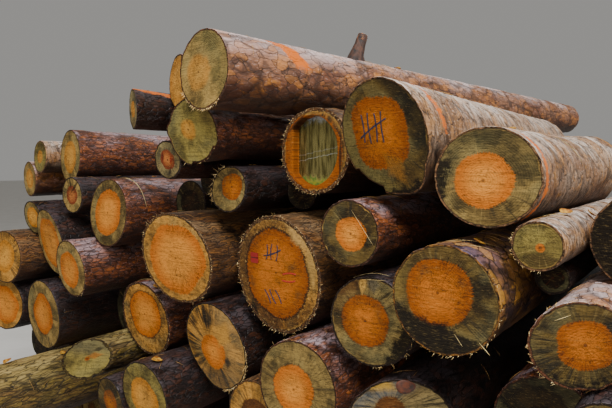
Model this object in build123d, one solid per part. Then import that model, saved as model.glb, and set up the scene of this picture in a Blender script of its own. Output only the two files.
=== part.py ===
from build123d import *
import math
import os
from dataclasses import dataclass

# A stack of sawn pine logs lying loose on the ground, in millimetres, +Z up.
# X runs across the stack and Y along the logs, from the sawn ends in front to the back.
# While the stack is built up, x is measured from the left end of the bottom row.
# At the end all is moved so that the origin is on the ground under the middle of the stack.

# Sizes that all logs share. The taper is the diameter lost on each metre of stem.
log_length = 3000
stem_taper = 9
bark_gap = 0.1
inner_set_back = 300

# A log is drawn with this many flat sides, and a flare runs into its stem in this many steps
log_sides = 48
flare_steps = 4

# How the logs are laid: a place with two bearings is worth this detour
two_bearing_bonus = 25
tiny = 1e-6

# Length that a stem is made longer by before its slanting saw cut
saw_allowance = 20

# The long log on top lies skewed over the others and rolls this far to its lowest place
long_log_diameter = 297
long_log_across = 2360
long_log_set_back = -140
long_log_turn = 4
long_log_skew = 10
long_log_taper = 27
long_log_roll = 120
long_log_roll_step = 2
long_log_stations = 60

# Its branch stub, which has a swollen foot
stub_along = 720
stub_length = 150
stub_diameter = 78
stub_end_diameter = 56
stub_slope = 24
stub_sides = 24
stub_foot_diameter = 130
stub_foot_height = 34

# The two cut-off pieces at the top right
short_log_length = 1050
flared_log_length = 1600

# The oval hollow in the end of one log, straight at its left, and the mirror pane in it
hollow_width = 215
hollow_height = 262
hollow_depth = 45
hollow_flat = 28
pane_thickness = 4
pane_clearance = 0.5

# The plastic tag on the end of the thickest log
tag_width = 42
tag_height = 40
tag_thickness = 2
tag_corner = 4
tag_left = 116
tag_up = 49


@dataclass
class Flare:
    """A root flare or swelling at one end of a log, which runs into the stem within its length.

    across and up are the place of its round on the end, from the axis of the log.
    """
    across: float
    up: float
    radius: float
    length: float
    at_back: bool = False


@dataclass
class Log:
    """One log: its front diameter, the wanted place of its axis and its saw cut.

    across and height are the wanted place of the axis. set_back is how far the sawn end
    lies behind the front line of the stack. turn stands the right edge of the saw cut
    forward, lean its upper edge, both in degrees. butt_front says which end is thicker.
    """
    name: str
    diameter: float
    across: float
    height: float
    set_back: float = inner_set_back
    turn: float = 0
    lean: float = 0
    butt_front: bool = True
    length: float = log_length
    flare: Flare = None
    x: float = 0
    z: float = 0

    def radius_at(self, y):
        """Radius of the straight taper at distance y behind the front line."""
        loss = stem_taper / 1000 * (y - self.set_back)
        return (self.diameter - loss if self.butt_front else self.diameter + loss) / 2

    def front(self):
        """Distance behind the front line of the foremost point of the slanting saw cut."""
        reach = self.diameter / 2
        if self.flare and not self.flare.at_back:
            reach = max(reach, math.hypot(self.flare.across, self.flare.up) + self.flare.radius)
        slant = math.hypot(math.tan(math.radians(self.turn)), math.tan(math.radians(self.lean)))
        return self.set_back - reach * slant

    def back(self):
        return self.set_back + self.length

    def flare_share(self, y):
        """Share of its full size that the flare has at y: all at the end of the log, then less."""
        flare = self.flare
        inside = self.back() - y if flare.at_back else y - self.set_back
        return min(max(1 - inside / flare.length, 0), 1)

    def discs_at(self, y):
        """Rounds that the log has at y, as across, up and radius: its stem, and steps to its flare."""
        radius = self.radius_at(y)
        discs = [(0, 0, radius)]
        if self.flare:
            flare, out = self.flare, self.flare_share(y)
            for step in range(1, flare_steps + 1):
                share = out * step / flare_steps
                discs.append((share * flare.across, share * flare.up, radius + share * (flare.radius - radius)))
        return discs

    def stations(self):
        """Distances behind the front line where the outline of the log changes."""
        places = [self.front(), self.back()]
        if self.flare:
            first = self.back() - self.flare.length if self.flare.at_back else self.set_back
            places += [first + self.flare.length * step / flare_steps for step in range(flare_steps + 1)]
        return places

    def lowest_height(self):
        """Height of the axis above the ground when the log lies on it."""
        return max(radius - up for y in self.stations() for _, up, radius in self.discs_at(y))


# The logs in the order in which they are laid. Logs of one name share a node.
LOGS = [
    Log("bottom_row", 295, 150, 0),
    Log("bottom_row", 270, 530, 0),
    Log("bottom_row", 250, 790, 0),
    Log("bottom_row", 300, 1060, 0),
    Log("bottom_row", 340, 1380, 0),
    Log("bottom_row", 315, 1710, 0),
    Log("bottom_row", 320, 2030, 0),
    Log("bottom_row", 250, 2310, 0),
    Log("bottom_row", 365, 2610, 0),
    Log("bottom_row", 385, 3030, 0),
    Log("bottom_row", 280, 3360, 0),
    Log("bottom_row", 320, 3660, 0),
    Log("bottom_row", 310, 3980, 0),
    Log("inner_log_01", 380, 3530, 485),
    Log("inner_log_02", 300, 3820, 420),
    Log("small_inner_logs", 140, 2020, 390),
    Log("small_inner_logs", 135, 1710, 385),
    Log("jutting_log", 340, 980, 440, -500),
    Log("inner_log_03", 345, 2710, 525),
    Log("inner_log_04", 330, 360, 380),
    Log("inner_log_05", 245, 70, 405),
    Log("front_log_10", 230, 1610, 570, -70, turn=1, lean=5, butt_front=False),
    Log("front_log_11", 300, 1870, 640, -60, turn=-4, lean=6),
    Log("inner_log_06", 280, 2150, 560),
    Log("inner_log_07", 295, 3030, 535),
    Log("small_inner_logs", 145, 420, 610),
    Log("front_log_29", 300, 2430, 620, 60),
    Log("inner_log_08", 290, 1370, 485),
    Log("front_log_09", 390, 870, 790, -30, lean=4),
    Log("front_log_08", 305, 520, 820, -90, turn=-14),
    Log("slant_cut_log", 185, 1450, 700, -90, turn=-40, lean=-16, butt_front=False),
    Log("teardrop_log", 370, 2160, 890, 80, lean=10, flare=Flare(-10, -130, 72, 210)),
    Log("front_log_24", 335, 2690, 880, 10, turn=-4),
    Log("inner_log_09", 335, 3400, 820),
    Log("front_log_25", 285, 3020, 830, 90, turn=-34, butt_front=False),
    Log("front_log_12", 365, 1650, 900, 90, turn=-2, lean=8),
    Log("front_log_07", 305, 610, 1110, -130, turn=-11),
    Log("front_log_23", 295, 2930, 1100, 70, turn=-8, butt_front=False),
    Log("inner_log_10", 325, 1220, 815),
    Log("tagged_log", 450, 2490, 1230, 90, turn=4, lean=4),
    Log("front_log_06", 290, 1290, 1100, -90, lean=8),
    Log("front_log_05", 370, 980, 1210, -40, turn=6, lean=12),
    Log("inner_log_11", 300, 3670, 770),
    Log("front_log_28", 175, 3590, 1020, 10, turn=-14, butt_front=False),
    Log("front_log_27", 225, 3530, 1210, 40, turn=-30),
    Log("inner_log_12", 230, 3870, 1000),
    Log("front_log_22", 315, 3200, 1250, 0, turn=-5),
    Log("front_log_13", 395, 2010, 1270, -10, turn=-8, lean=10),
    Log("inner_log_13", 190, 1550, 1170),
    Log("inner_log_14", 160, 2450, 1500),
    Log("front_log_14", 340, 1440, 1370, 20, lean=-3),
    Log("inner_log_15", 235, 1730, 1435),
    Log("front_log_04", 195, 720, 1330, -20, turn=-4, lean=10, butt_front=False),
    Log("front_log_03", 210, 660, 1520, -10, turn=5, lean=3, butt_front=False),
    Log("front_log_15", 195, 1190, 1470, -30, turn=-3, lean=3, butt_front=False),
    Log("front_log_01", 295, 1050, 1670, 30, turn=7),
    Log("front_log_02", 190, 810, 1650, -20, turn=4),
    Log("front_log_21", 225, 2870, 1420, 20, turn=-3, butt_front=False),
    Log("small_inner_logs", 110, 3410, 1310),
    Log("front_log_26", 140, 3430, 1420, 60, turn=-5, butt_front=False),
    Log("inner_log_16", 280, 3660, 1415),
    Log("front_log_20", 195, 2250, 1530, 60, turn=-4, lean=-7, butt_front=False),
    Log("inner_log_17", 160, 1890, 1560),
    Log("front_log_19", 165, 2030, 1650, -50, turn=-4, lean=6, butt_front=False),
    Log("inner_log_18", 140, 1880, 1705),
    Log("hollow_log", 330, 2600, 1650, 150, turn=1),
    Log(
        "front_log_18", 205, 2190, 1740, -70, turn=-5, lean=10, butt_front=False,
        flare=Flare(-105, 10, 42, 220)),
    Log(
        "short_top_log", 290, 3280, 1600, 90, turn=-13, butt_front=False, length=short_log_length,
        flare=Flare(60, 45, 115, 320, at_back=True)),
    Log(
        "flared_butt_log", 340, 2970, 1720, 20, turn=12, lean=18, length=flared_log_length,
        flare=Flare(65, -112, 75, 600)),
    Log("front_log_17", 225, 2100, 1950, -50, turn=18, butt_front=False),
    Log("front_log_16", 170, 1920, 1850, -150, turn=23, lean=3),
]

LONG_LOG = Log(
    "long_top_log", long_log_diameter, long_log_across, 0, long_log_set_back, turn=long_log_turn)


def rounds_to_clear(log, placed):
    """Rounds that the axis of the log has to stay out of, as x, z and radius.

    At each station where both logs are, each disc of the log has to clear each disc of the other.
    """
    rounds = set()
    for other in placed:
        start, end = max(log.front(), other.front()), min(log.back(), other.back())
        for y in [start, end] + log.stations() + other.stations():
            if start <= y <= end:
                for across, up, radius in log.discs_at(y):
                    for its_across, its_up, its_radius in other.discs_at(y):
                        place = (other.x + its_across - across, other.z + its_up - up)
                        rounds.add((*place, radius + its_radius + bark_gap))
    return widest(rounds)


def widest(rounds):
    """Of the rounds about one place only the widest, in a settled order."""
    kept = {}
    for x, z, radius in rounds:
        kept[(x, z)] = max(radius, kept.get((x, z), 0))
    return sorted((x, z, radius) for (x, z), radius in kept.items())


def crossings(p, q):
    """The two points where two rounds cross, if they do. A round is x, z and radius."""
    dx, dz = q[0] - p[0], q[1] - p[1]
    apart = math.hypot(dx, dz)
    if apart >= p[2] + q[2] or apart <= abs(p[2] - q[2]):
        return []
    along = (p[2]**2 - q[2]**2 + apart**2) / (2 * apart)
    aside = math.sqrt(p[2]**2 - along**2)
    x, z = p[0] + along * dx / apart, p[1] + along * dz / apart
    return [(x - s * aside * dz / apart, z + s * aside * dx / apart) for s in (-1, 1)]


def bearing_places(log, rounds):
    """Every place where the log bears on one or two others or on the ground, with a cost.

    The cost is the distance from the wanted place, and two bearings are worth a detour.
    """
    places = []
    ground = log.lowest_height()

    def add(x, z, bearings):
        cost = math.hypot(x - log.across, z - log.height)
        places.append((cost - two_bearing_bonus * (bearings - 1), x, z))

    add(log.across, ground, 1)
    for i, (x, z, reach) in enumerate(rounds):
        apart = math.hypot(log.across - x, log.height - z)
        rise = (log.height - z) * reach / apart
        if rise > 0:
            add(x + (log.across - x) * reach / apart, z + rise, 1)
        beside = reach**2 - (ground - z)**2
        if beside > 0:
            add(x - math.sqrt(beside), ground, 2)
            add(x + math.sqrt(beside), ground, 2)
        for other in rounds[i + 1:]:
            for place in crossings((x, z, reach), other):
                if place[1] > min(z, other[1]):
                    add(*place, 2)
    return sorted(places)


def lay_down(log, placed):
    """Sets the log at the nearest free place to the wanted one where it bears on something."""
    rounds = rounds_to_clear(log, placed)
    ground = log.lowest_height()
    for _, x, z in bearing_places(log, rounds):
        clear = all(math.hypot(x - p[0], z - p[1]) > p[2] - tiny for p in rounds)
        if clear and z > ground - tiny:
            log.x, log.z = x, z
            placed.append(log)
            return
    raise ValueError("no place for " + log.name)


def long_log_radius(along):
    """Radius of the long log at a distance along it from its sawn end."""
    return (long_log_diameter - long_log_taper / 1000 * along) / 2


def resting_height(x, placed):
    """Lowest axis height of the skewed log, with its end at x, that clears all logs below.

    A ball of the log's radius at each station along its axis clears each log's round side.
    """
    height = 0
    skew = math.radians(long_log_skew)
    for station in range(long_log_stations + 1):
        along = log_length * station / long_log_stations
        radius = long_log_radius(along)
        across = x + along * math.sin(skew)
        y = LONG_LOG.set_back + along * math.cos(skew)
        for log in placed:
            if log.front() - radius < y < log.back() + radius:
                for log_across, up, log_radius in log.discs_at(y):
                    reach = radius + log_radius + bark_gap
                    aside = across - log.x - log_across
                    if abs(aside) < reach:
                        height = max(height, log.z + up + math.sqrt(reach**2 - aside**2))
    return height


def lay_long_log(placed):
    """The long log rolls to the lowest place near the wanted one."""
    rolls = range(-long_log_roll, long_log_roll + 1, long_log_roll_step)
    places = [long_log_across + roll for roll in rolls]
    LONG_LOG.z, LONG_LOG.x = min((resting_height(x, placed), x) for x in places)


def saw_cut(log):
    """Plane of the slanting saw cut, facing out of the log, with its X to the right and its Y up."""
    turn = math.tan(math.radians(log.turn))
    lean = math.tan(math.radians(log.lean))
    return Plane(origin=(log.x, log.set_back, log.z), x_dir=(1, -turn, 0), z_dir=(-turn, -1, -lean))


def section(log, y):
    """Outline of a log at y: in each direction the point that lies farthest that way on its discs."""
    discs = log.discs_at(y)
    points = []
    for side in range(log_sides):
        angle = 2 * math.pi * side / log_sides
        right, up = math.cos(angle), math.sin(angle)
        x, z, radius = max(discs, key=lambda disc: disc[0] * right + disc[1] * up + disc[2])
        points.append((x + radius * right, z + radius * up))
    plane = Plane(origin=(log.x, y, log.z), x_dir=(1, 0, 0), z_dir=(0, -1, 0))
    return plane * Polygon(*points, align=None)


def stem(log):
    """A tapered log along Y with its flare, cut to the slanting plane in front and square at the back."""
    start = log.front() - saw_allowance
    places = [start, log.back()]
    if log.flare and log.flare.at_back:
        places = [start, log.back() - log.flare.length, log.back()]
    elif log.flare:
        places = [start, log.set_back, log.set_back + log.flare.length, log.back()]
    blank = loft([section(log, y) for y in places], ruled=True)
    return blank.split(saw_cut(log), keep=Keep.BOTTOM)


def taper(plane, first_diameter, last_diameter, length, sides):
    """A straight round taper with flat sides that stands on a plane."""
    first = plane * RegularPolygon(first_diameter / 2, sides)
    last = plane.offset(length) * RegularPolygon(last_diameter / 2, sides)
    return loft([first, last], ruled=True)


def long_log():
    """The skewed long log with its branch stub, which has a swollen foot."""
    skew = math.radians(long_log_skew)
    along = Vector(math.sin(skew), math.cos(skew), 0)
    end = Vector(LONG_LOG.x, LONG_LOG.set_back, LONG_LOG.z)
    spare = long_log_diameter / 2
    start = Plane(origin=end - along * spare, x_dir=(0, 0, 1), z_dir=along)
    diameters = [2 * long_log_radius(place) for place in (-spare, log_length)]
    trunk = taper(start, *diameters, log_length + spare, log_sides)
    trunk = trunk.split(saw_cut(LONG_LOG), keep=Keep.BOTTOM)
    rise = math.radians(stub_slope)
    out = Vector(0, 0, math.cos(rise)) + along * math.sin(rise)
    root = Plane(origin=end + along * stub_along, z_dir=out)
    radius = long_log_radius(stub_along)
    stub = taper(root, stub_diameter, stub_end_diameter, radius + stub_length, stub_sides)
    foot = taper(root, stub_foot_diameter, stub_diameter, radius + stub_foot_height, stub_sides)
    return trunk.fuse(stub, foot)


def hollow_outline(clearance=0):
    """Oval hollow with a straight left side: an ellipse cut off at the left."""
    half_width = (hollow_width + hollow_flat) / 2
    oval = Ellipse(half_width - clearance, hollow_height / 2 - clearance)
    left = Pos(-half_width, 0) * Rectangle(2 * (hollow_flat + clearance), 2 * hollow_height)
    return Pos(-hollow_flat / 2, 0) * (oval - left)


def hollow_log_and_pane(log):
    """The hollow is sunk square to the saw cut, and the mirror pane stands on its floor."""
    face = saw_cut(log)
    hollow = extrude(face * hollow_outline(), amount=-hollow_depth)
    pane = extrude(face.offset(-hollow_depth) * hollow_outline(pane_clearance), amount=pane_thickness)
    return stem(log) - hollow, pane


def tag(log):
    """Plastic tag flat on the saw cut."""
    place = saw_cut(log) * Pos(-tag_left, tag_up)
    return extrude(place * RectangleRounded(tag_width, tag_height, tag_corner), amount=tag_thickness)


def build():
    """All nodes by name, each a list of solids, before the move to the origin."""
    placed = []
    for log in LOGS:
        lay_down(log, placed)
    lay_long_log(placed)
    nodes = {}
    for log in LOGS:
        if log.name == "hollow_log":
            body, pane = hollow_log_and_pane(log)
            nodes[log.name] = body.solids()
            nodes["mirror_pane"] = pane.solids()
        else:
            nodes.setdefault(log.name, []).extend(stem(log).solids())
        if log.name == "tagged_log":
            nodes["number_tag"] = tag(log).solids()
    nodes["long_top_log"] = long_log().solids()
    return nodes


def main():
    """Moves the stack over the origin and writes one STEP file for each node."""
    nodes = build()
    box = Compound([solid for solids in nodes.values() for solid in solids]).bounding_box()
    shift = Pos(-box.center().X, -box.center().Y, -box.min.Z)
    os.makedirs("parts", exist_ok=True)
    for name, solids in nodes.items():
        moved = [shift * solid for solid in solids]
        shape = moved[0] if len(moved) == 1 else Compound(moved)
        shape.label = name
        export_step(shape, f"parts/{name}.step")


main()
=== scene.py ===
import functools
import math

import bpy
import numpy as np
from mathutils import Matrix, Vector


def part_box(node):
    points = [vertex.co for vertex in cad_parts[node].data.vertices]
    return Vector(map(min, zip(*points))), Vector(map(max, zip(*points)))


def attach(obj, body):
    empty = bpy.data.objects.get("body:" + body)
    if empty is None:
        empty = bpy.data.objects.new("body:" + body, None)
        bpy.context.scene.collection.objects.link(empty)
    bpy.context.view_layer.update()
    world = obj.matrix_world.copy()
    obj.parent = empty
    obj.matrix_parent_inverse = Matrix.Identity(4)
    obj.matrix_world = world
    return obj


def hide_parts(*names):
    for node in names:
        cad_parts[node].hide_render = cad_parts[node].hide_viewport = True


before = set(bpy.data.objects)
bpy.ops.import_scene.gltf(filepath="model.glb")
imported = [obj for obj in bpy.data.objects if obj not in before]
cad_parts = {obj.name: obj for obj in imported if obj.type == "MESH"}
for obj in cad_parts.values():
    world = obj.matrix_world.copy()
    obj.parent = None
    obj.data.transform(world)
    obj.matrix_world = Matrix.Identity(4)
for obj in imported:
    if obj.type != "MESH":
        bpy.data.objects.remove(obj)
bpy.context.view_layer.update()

# A stack of sawn pine logs. X runs across it, and Y along the logs from their sawn ends to the back.
# All lengths are in metres. Each log is a grown surface, worked out round its CAD solid.

MM = 0.001
TURN = 2 * math.pi

# How finely a log is drawn: points round it and rows of points along it
FINENESS = {"long_top_log": (150, 190), "short_top_log": (136, 104), "flared_butt_log": (128, 104)}
VISIBLE_FINENESS = (104, 68)
HIDDEN_FINENESS = (40, 22)

# Rings of points on a sawn end, in front and at the back, and the width of its worn edge
FRONT_RINGS = 15
BACK_RINGS = 5
WORN_EDGE = 2 * MM

# Logs with a root flare or swelling, and the places along them where their outline is taken
FLARED = ("flared_butt_log", "short_top_log", "teardrop_log", "front_log_18")
FLARE_SLICES = 16

# The long log on top lies skewed by this angle. Its branch stub stands on its axis at stub_along,
# leans back by stub_slope and is drawn from stub_start to stub_tip from the axis. Its foot
# is wider up to stub_foot.
LONG_SKEW = math.radians(10)
STUB_ALONG = 0.720
STUB_SLOPE = math.radians(24)
STUB_TIP = 0.2885
STUB_START = 0.090
STUB_RADIUS = 0.039
STUB_END_RADIUS = 0.028
STUB_FOOT_RADIUS = 0.065
STUB_FOOT = 0.1728

# The oval hollow in one log's end, an ellipse cut straight at its left, and its depth
HOLLOW_WIDTH = 0.215
HOLLOW_HEIGHT = 0.262
HOLLOW_FLAT = 0.028
HOLLOW_DEPTH = 0.045

# Rings of points down the hollow's wall and over its floor: shares of its depth and of its width
HOLLOW_RINGS = ((0.3, 1.0), (0.7, 1.0), (1.0, 1.0), (1.0, 0.6), (1.0, 0.2))

# Heights of the relief: slow waves and fine roughness of the bark, and fibres of the saw cut
BARK_WAVE = 4 * MM
BARK_ROUGHNESS = 2.5 * MM
SAW_ROUGHNESS = 3 * MM

# Steps in the noise's space from one log to the next, and from a log's front end to its back
NEXT_BARK = 7.3
NEXT_END = 5.1
BACK_END = 31

# A place along the axis that lies in front of every log
IN_FRONT = -1e3


# Numbers from noise

def lattice(i, j, k, seed):
    """A number from 0 to 1 for each lattice point, from a hash of its whole coordinates."""
    mixed = (i * 73856093) ^ (j * 19349663) ^ (k * 83492791) ^ (seed * 26544357)
    mixed = mixed & 0x7FFFFFFF
    mixed = ((mixed ^ (mixed >> 15)) * 2246822519) & 0xFFFFFFFF
    mixed = ((mixed ^ (mixed >> 13)) * 3266489917) & 0xFFFFFFFF
    return ((mixed ^ (mixed >> 16)) & 0xFFFFFF) / float(0xFFFFFF)


def noise(points, seed=0):
    """Value noise from 0 to 1: the eight corners of each point's cell, blended by 3t^2 - 2t^3."""
    cell = np.floor(points).astype(np.int64)
    t = points - cell
    t = t * t * (3 - 2 * t)
    total = 0
    for corner in range(8):
        step = np.array([corner & 1, corner >> 1 & 1, corner >> 2 & 1])
        weight = np.prod(np.where(step, t, 1 - t), axis=-1)
        at = cell + step
        total = total + weight * lattice(at[..., 0], at[..., 1], at[..., 2], seed)
    return total


def layered(points, seed=0, layers=3):
    """Noise added up at doubled scale and halved height, brought back to 0 to 1."""
    total = sum(noise(points * 2**n, seed + n) / 2**n for n in range(layers))
    return total / (2 - 2**(1 - layers))


def plates(points, seed=0):
    """Cell pattern: distance to the nearest and the second nearest seed, and the nearest cell's number."""
    cell = np.floor(points).astype(np.int64)
    near = np.full(points.shape[:-1], 9.0)
    second = np.full(points.shape[:-1], 9.0)
    number = np.zeros(points.shape[:-1])
    for step in range(27):
        at = cell + np.array([step % 3 - 1, step // 3 % 3 - 1, step // 9 - 1])
        corner = (at[..., 0], at[..., 1], at[..., 2])
        place = np.stack([lattice(*corner, seed + n) for n in range(3)], axis=-1)
        distance = np.linalg.norm(at + place - points, axis=-1)
        closer = distance < near
        second = np.where(closer, near, np.minimum(second, distance))
        number = np.where(closer, lattice(*corner, seed + 7), number)
        near = np.where(closer, distance, near)
    return near, second, number


def ramp(value, low, high):
    """0 below low, 1 above high, and 3t^2 - 2t^3 between."""
    t = np.clip((value - low) / (high - low), 0, 1)
    return t * t * (3 - 2 * t)


# What the CAD solids say of each log

def read(items, field, width=1, kind=float):
    """One property of all vertices, edges, faces or corners of a mesh, as an array."""
    values = np.empty(len(items) * width, dtype=kind)
    items.foreach_get(field, values)
    return values.reshape(-1, width) if width > 1 else values


def loose_parts(name):
    """The solids of a CAD node: for each, merged corners, edges, and the faces' normals and areas."""
    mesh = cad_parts[name].data
    corners, edges = read(mesh.vertices, "co", 3), read(mesh.edges, "vertices", 2, np.int64)
    normals, areas = read(mesh.polygons, "normal", 3), read(mesh.polygons, "area")
    starts = read(mesh.polygons, "loop_start", kind=np.int64)
    loops = read(mesh.loops, "vertex_index", kind=np.int64)
    grid = 0.05 * MM
    keys, inverse = np.unique(np.round(corners / grid).astype(np.int64), axis=0, return_inverse=True)
    inverse = inverse.ravel()
    pairs = inverse[edges]
    label = np.arange(len(keys))
    before = None
    while not np.array_equal(label, before):
        before = label.copy()
        lowest = np.minimum(label[pairs[:, 0]], label[pairs[:, 1]])
        np.minimum.at(label, pairs[:, 0], lowest)
        np.minimum.at(label, pairs[:, 1], lowest)
    face_label = label[inverse[loops[starts]]]
    places = keys * grid
    return [(places[label == one], places[pairs[label[pairs[:, 0]] == one]],
             normals[face_label == one], areas[face_label == one]) for one in np.unique(label)]


class Stem:
    """The shape of one log: an axis, rings of distances from it, and the plane of the saw cut.

    ahead is the unit vector along the axis, from the sawn end to the back, side the one to the
    right and top the one upwards. Each ring holds the distance of the bark from the axis in
    RING_STEPS directions, where a plane cuts the solid's edges. The first ring lies in the saw cut,
    and the others square to the axis. A log without a flare needs only the one at its back.
    """
    RING_STEPS = 96
    SLICE = 0.5 * MM
    # A face looks forwards below this cosine, and a point is on the outline beyond this share of its reach
    FORWARDS = -0.35
    OUTER = 0.86

    def __init__(self, solid, skew, slices):
        corners, edges, normals, areas = solid
        self.ahead = np.array([math.sin(skew), math.cos(skew), 0.0])
        self.side = np.array([math.cos(skew), -math.sin(skew), 0.0])
        self.top = np.array([0.0, 0.0, 1.0])
        # The saw cut is the largest flat face that looks forwards
        facing = normals @ self.ahead < self.FORWARDS
        _, kind = np.unique(np.round(normals[facing], 2), axis=0, return_inverse=True)
        kind = kind.ravel()
        largest = np.argmax(np.bincount(kind, areas[facing]))
        normal = unit(normals[facing][kind == largest].mean(0))
        plane = (corners @ normal).max()
        self.end = (corners @ self.ahead).max()
        mouth = self.slice(edges, normal, plane - self.SLICE)
        begin = (mouth @ self.ahead).max() + self.SLICE
        shares = np.linspace(0, 1, slices)**1.5 if slices > 1 else np.ones(1)
        self.levels = list(begin + (self.end - self.SLICE - begin) * shares)
        square = [self.slice(edges, self.ahead, level) for level in self.levels]
        # Flares only widen a ring, so the ring with the smallest box is the round one
        axes = np.stack([self.side, self.top, self.ahead], axis=-1)
        boxes = [((ring @ axes).min(0), (ring @ axes).max(0)) for ring in square]
        low, high = min(boxes, key=lambda box: np.prod((box[1] - box[0])[:2]))
        middle = (low + high) / 2
        self.origin = self.side * middle[0] + self.top * middle[1]
        slope = normal @ self.ahead
        self.cut = (-(normal @ self.side) / slope, -(normal @ self.top) / slope,
                    (plane - normal @ self.origin) / slope)
        self.rings = [self.ring(ring) for ring in [mouth] + square]
        self.radius = float(self.rings[0].mean())

    def slice(self, edges, normal, level):
        """Where a plane cuts the edges of a solid."""
        first, last = edges[:, 0] @ normal - level, edges[:, 1] @ normal - level
        cut = (first * last) < 0
        share = (first[cut] / (first[cut] - last[cut]))[:, None]
        return edges[cut, 0] * (1 - share) + edges[cut, 1] * share

    def ring(self, points):
        """Distances from the axis in even directions, of the outer ones of a slice's points."""
        across, up = (points - self.origin) @ self.side, (points - self.origin) @ self.top
        reach = np.hypot(across, up)
        outer = reach > self.OUTER * np.percentile(reach, 75)
        angle = np.arctan2(up, across)[outer] % TURN
        order = np.argsort(angle)
        even = np.arange(self.RING_STEPS) * TURN / self.RING_STEPS
        return np.interp(even, angle[order], reach[outer][order], period=TURN)

    def point(self, across, up, along):
        """Place in the shared frame of a point given by its offsets from the axis."""
        return (self.origin + across[..., None] * self.side + up[..., None] * self.top
                + along[..., None] * self.ahead)

    def saw_depth(self, across, up):
        """Distance along the axis of the saw cut at an offset from the axis."""
        return self.cut[0] * across + self.cut[1] * up + self.cut[2]

    def bark_distance(self, angle, along):
        """Distance of the bark from the axis: between two rings it changes evenly along the log."""
        direction = angle / TURN * self.RING_STEPS
        steps = np.arange(self.RING_STEPS)
        rings = [np.interp(direction, steps, ring, period=self.RING_STEPS) for ring in self.rings]
        start = self.saw_depth(*polar(rings[0], angle))
        result = rings[0]
        for level, ring, before in zip(self.levels, rings[1:], rings):
            share = np.clip((along - start) / (level - start), 0, 1)
            result = np.where(along > start, before + share * (ring - before), result)
            start = level
        return result


# Meshes

def new_piece(name, points, faces, materials, indices=None, node=None, slot="pine_log"):
    """A mesh object at the origin, from an array of points and arrays of faces.

    It rides on the root body, and stands for a CAD node where one is given.
    """
    mesh = bpy.data.meshes.new(name)
    counts = np.concatenate([np.full(len(part), part.shape[1], dtype=np.int32) for part in faces])
    corners = np.concatenate([part.ravel() for part in faces]).astype(np.int32)
    mesh.vertices.add(len(points))
    mesh.vertices.foreach_set("co", np.ascontiguousarray(points, dtype=np.float32).ravel())
    mesh.loops.add(len(corners))
    mesh.loops.foreach_set("vertex_index", corners)
    mesh.polygons.add(len(counts))
    starts = np.concatenate([[0], np.cumsum(counts)[:-1]]).astype(np.int32)
    mesh.polygons.foreach_set("loop_start", starts)
    mesh.polygons.foreach_set("loop_total", counts)
    for material in materials:
        mesh.materials.append(material)
    if indices is not None:
        mesh.polygons.foreach_set("material_index", indices.astype(np.int32))
    mesh.polygons.foreach_set("use_smooth", np.ones(len(counts), dtype=bool))
    mesh.update(calc_edges=True)
    piece = bpy.data.objects.new(name, mesh)
    bpy.context.scene.collection.objects.link(piece)
    if slot:
        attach(piece, "root")
    if node:
        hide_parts(node)
    return piece


def keep(piece, name, values):
    """Writes one number, or one vector, for each point of a piece as an attribute."""
    kind = "FLOAT" if values.ndim == 1 else "FLOAT_VECTOR"
    attribute = piece.data.attributes.new(name, kind, "POINT")
    field = "value" if values.ndim == 1 else "vector"
    attribute.data.foreach_set(field, np.ascontiguousarray(values, dtype=np.float32).ravel())


def quads(rows, columns, first=0, closed=True):
    """Faces of a grid of points, row after row, closed round its columns."""
    last = columns if closed else columns - 1
    row, column = np.meshgrid(np.arange(rows - 1), np.arange(last), indexing="ij")
    here = first + row * columns + column
    right = first + row * columns + (column + 1) % columns
    return np.stack([here, right, right + columns, here + columns], axis=-1).reshape(-1, 4)


def fan(ring, apex):
    """Triangles between a closed ring of points and one more point."""
    return np.stack([ring, np.full(len(ring), apex), np.roll(ring, -1)], axis=-1)


def unit(vectors):
    """The same directions with a length of 1."""
    return vectors / np.linalg.norm(vectors, axis=-1, keepdims=True)


def polar(distance, angle):
    """Offsets to the right and up at a distance from the axis, by the angle from the right."""
    return distance * np.cos(angle), distance * np.sin(angle)


# Materials

def linear(hex_colour):
    """sRGB hex to linear RGBA: ((c + 0.055) / 1.055)^2.4 above the dark end."""
    parts = [int(hex_colour[i:i + 2], 16) / 255 for i in (1, 3, 5)]
    curve = [c / 12.92 if c <= 0.04045 else ((c + 0.055) / 1.055)**2.4 for c in parts]
    return (*curve, 1.0)


def node(tree, kind, *values, out=0, **settings):
    """Adds a shader node. Values and links go to its inputs in order.

    A word after the kind is its operation, or how a MapRange goes from end to end. A setting that
    starts with a capital is an input by name, and any other is the node's own. Text that starts
    with # is a colour.
    """
    kind, _, way = kind.partition(" ")
    made = tree.nodes.new("ShaderNode" + kind)
    if way:
        setattr(made, "interpolation_type" if kind == "MapRange" else "operation", way)
    inputs = dict(enumerate(values))
    for key, value in settings.items():
        if key[0].isupper():
            inputs[key.replace("_", " ")] = value
        else:
            setattr(made, key, value)
    for key, value in inputs.items():
        if isinstance(value, bpy.types.NodeSocket):
            tree.links.new(value, made.inputs[key])
        else:
            made.inputs[key].default_value = linear(value) if isinstance(value, str) else value
    return made.outputs[out] if made.outputs else None


def new_material(name):
    """An empty material and the function that adds nodes to it."""
    material = bpy.data.materials.new(name)
    material.use_nodes = True
    material.node_tree.nodes.clear()
    return material, functools.partial(node, material.node_tree)


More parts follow.
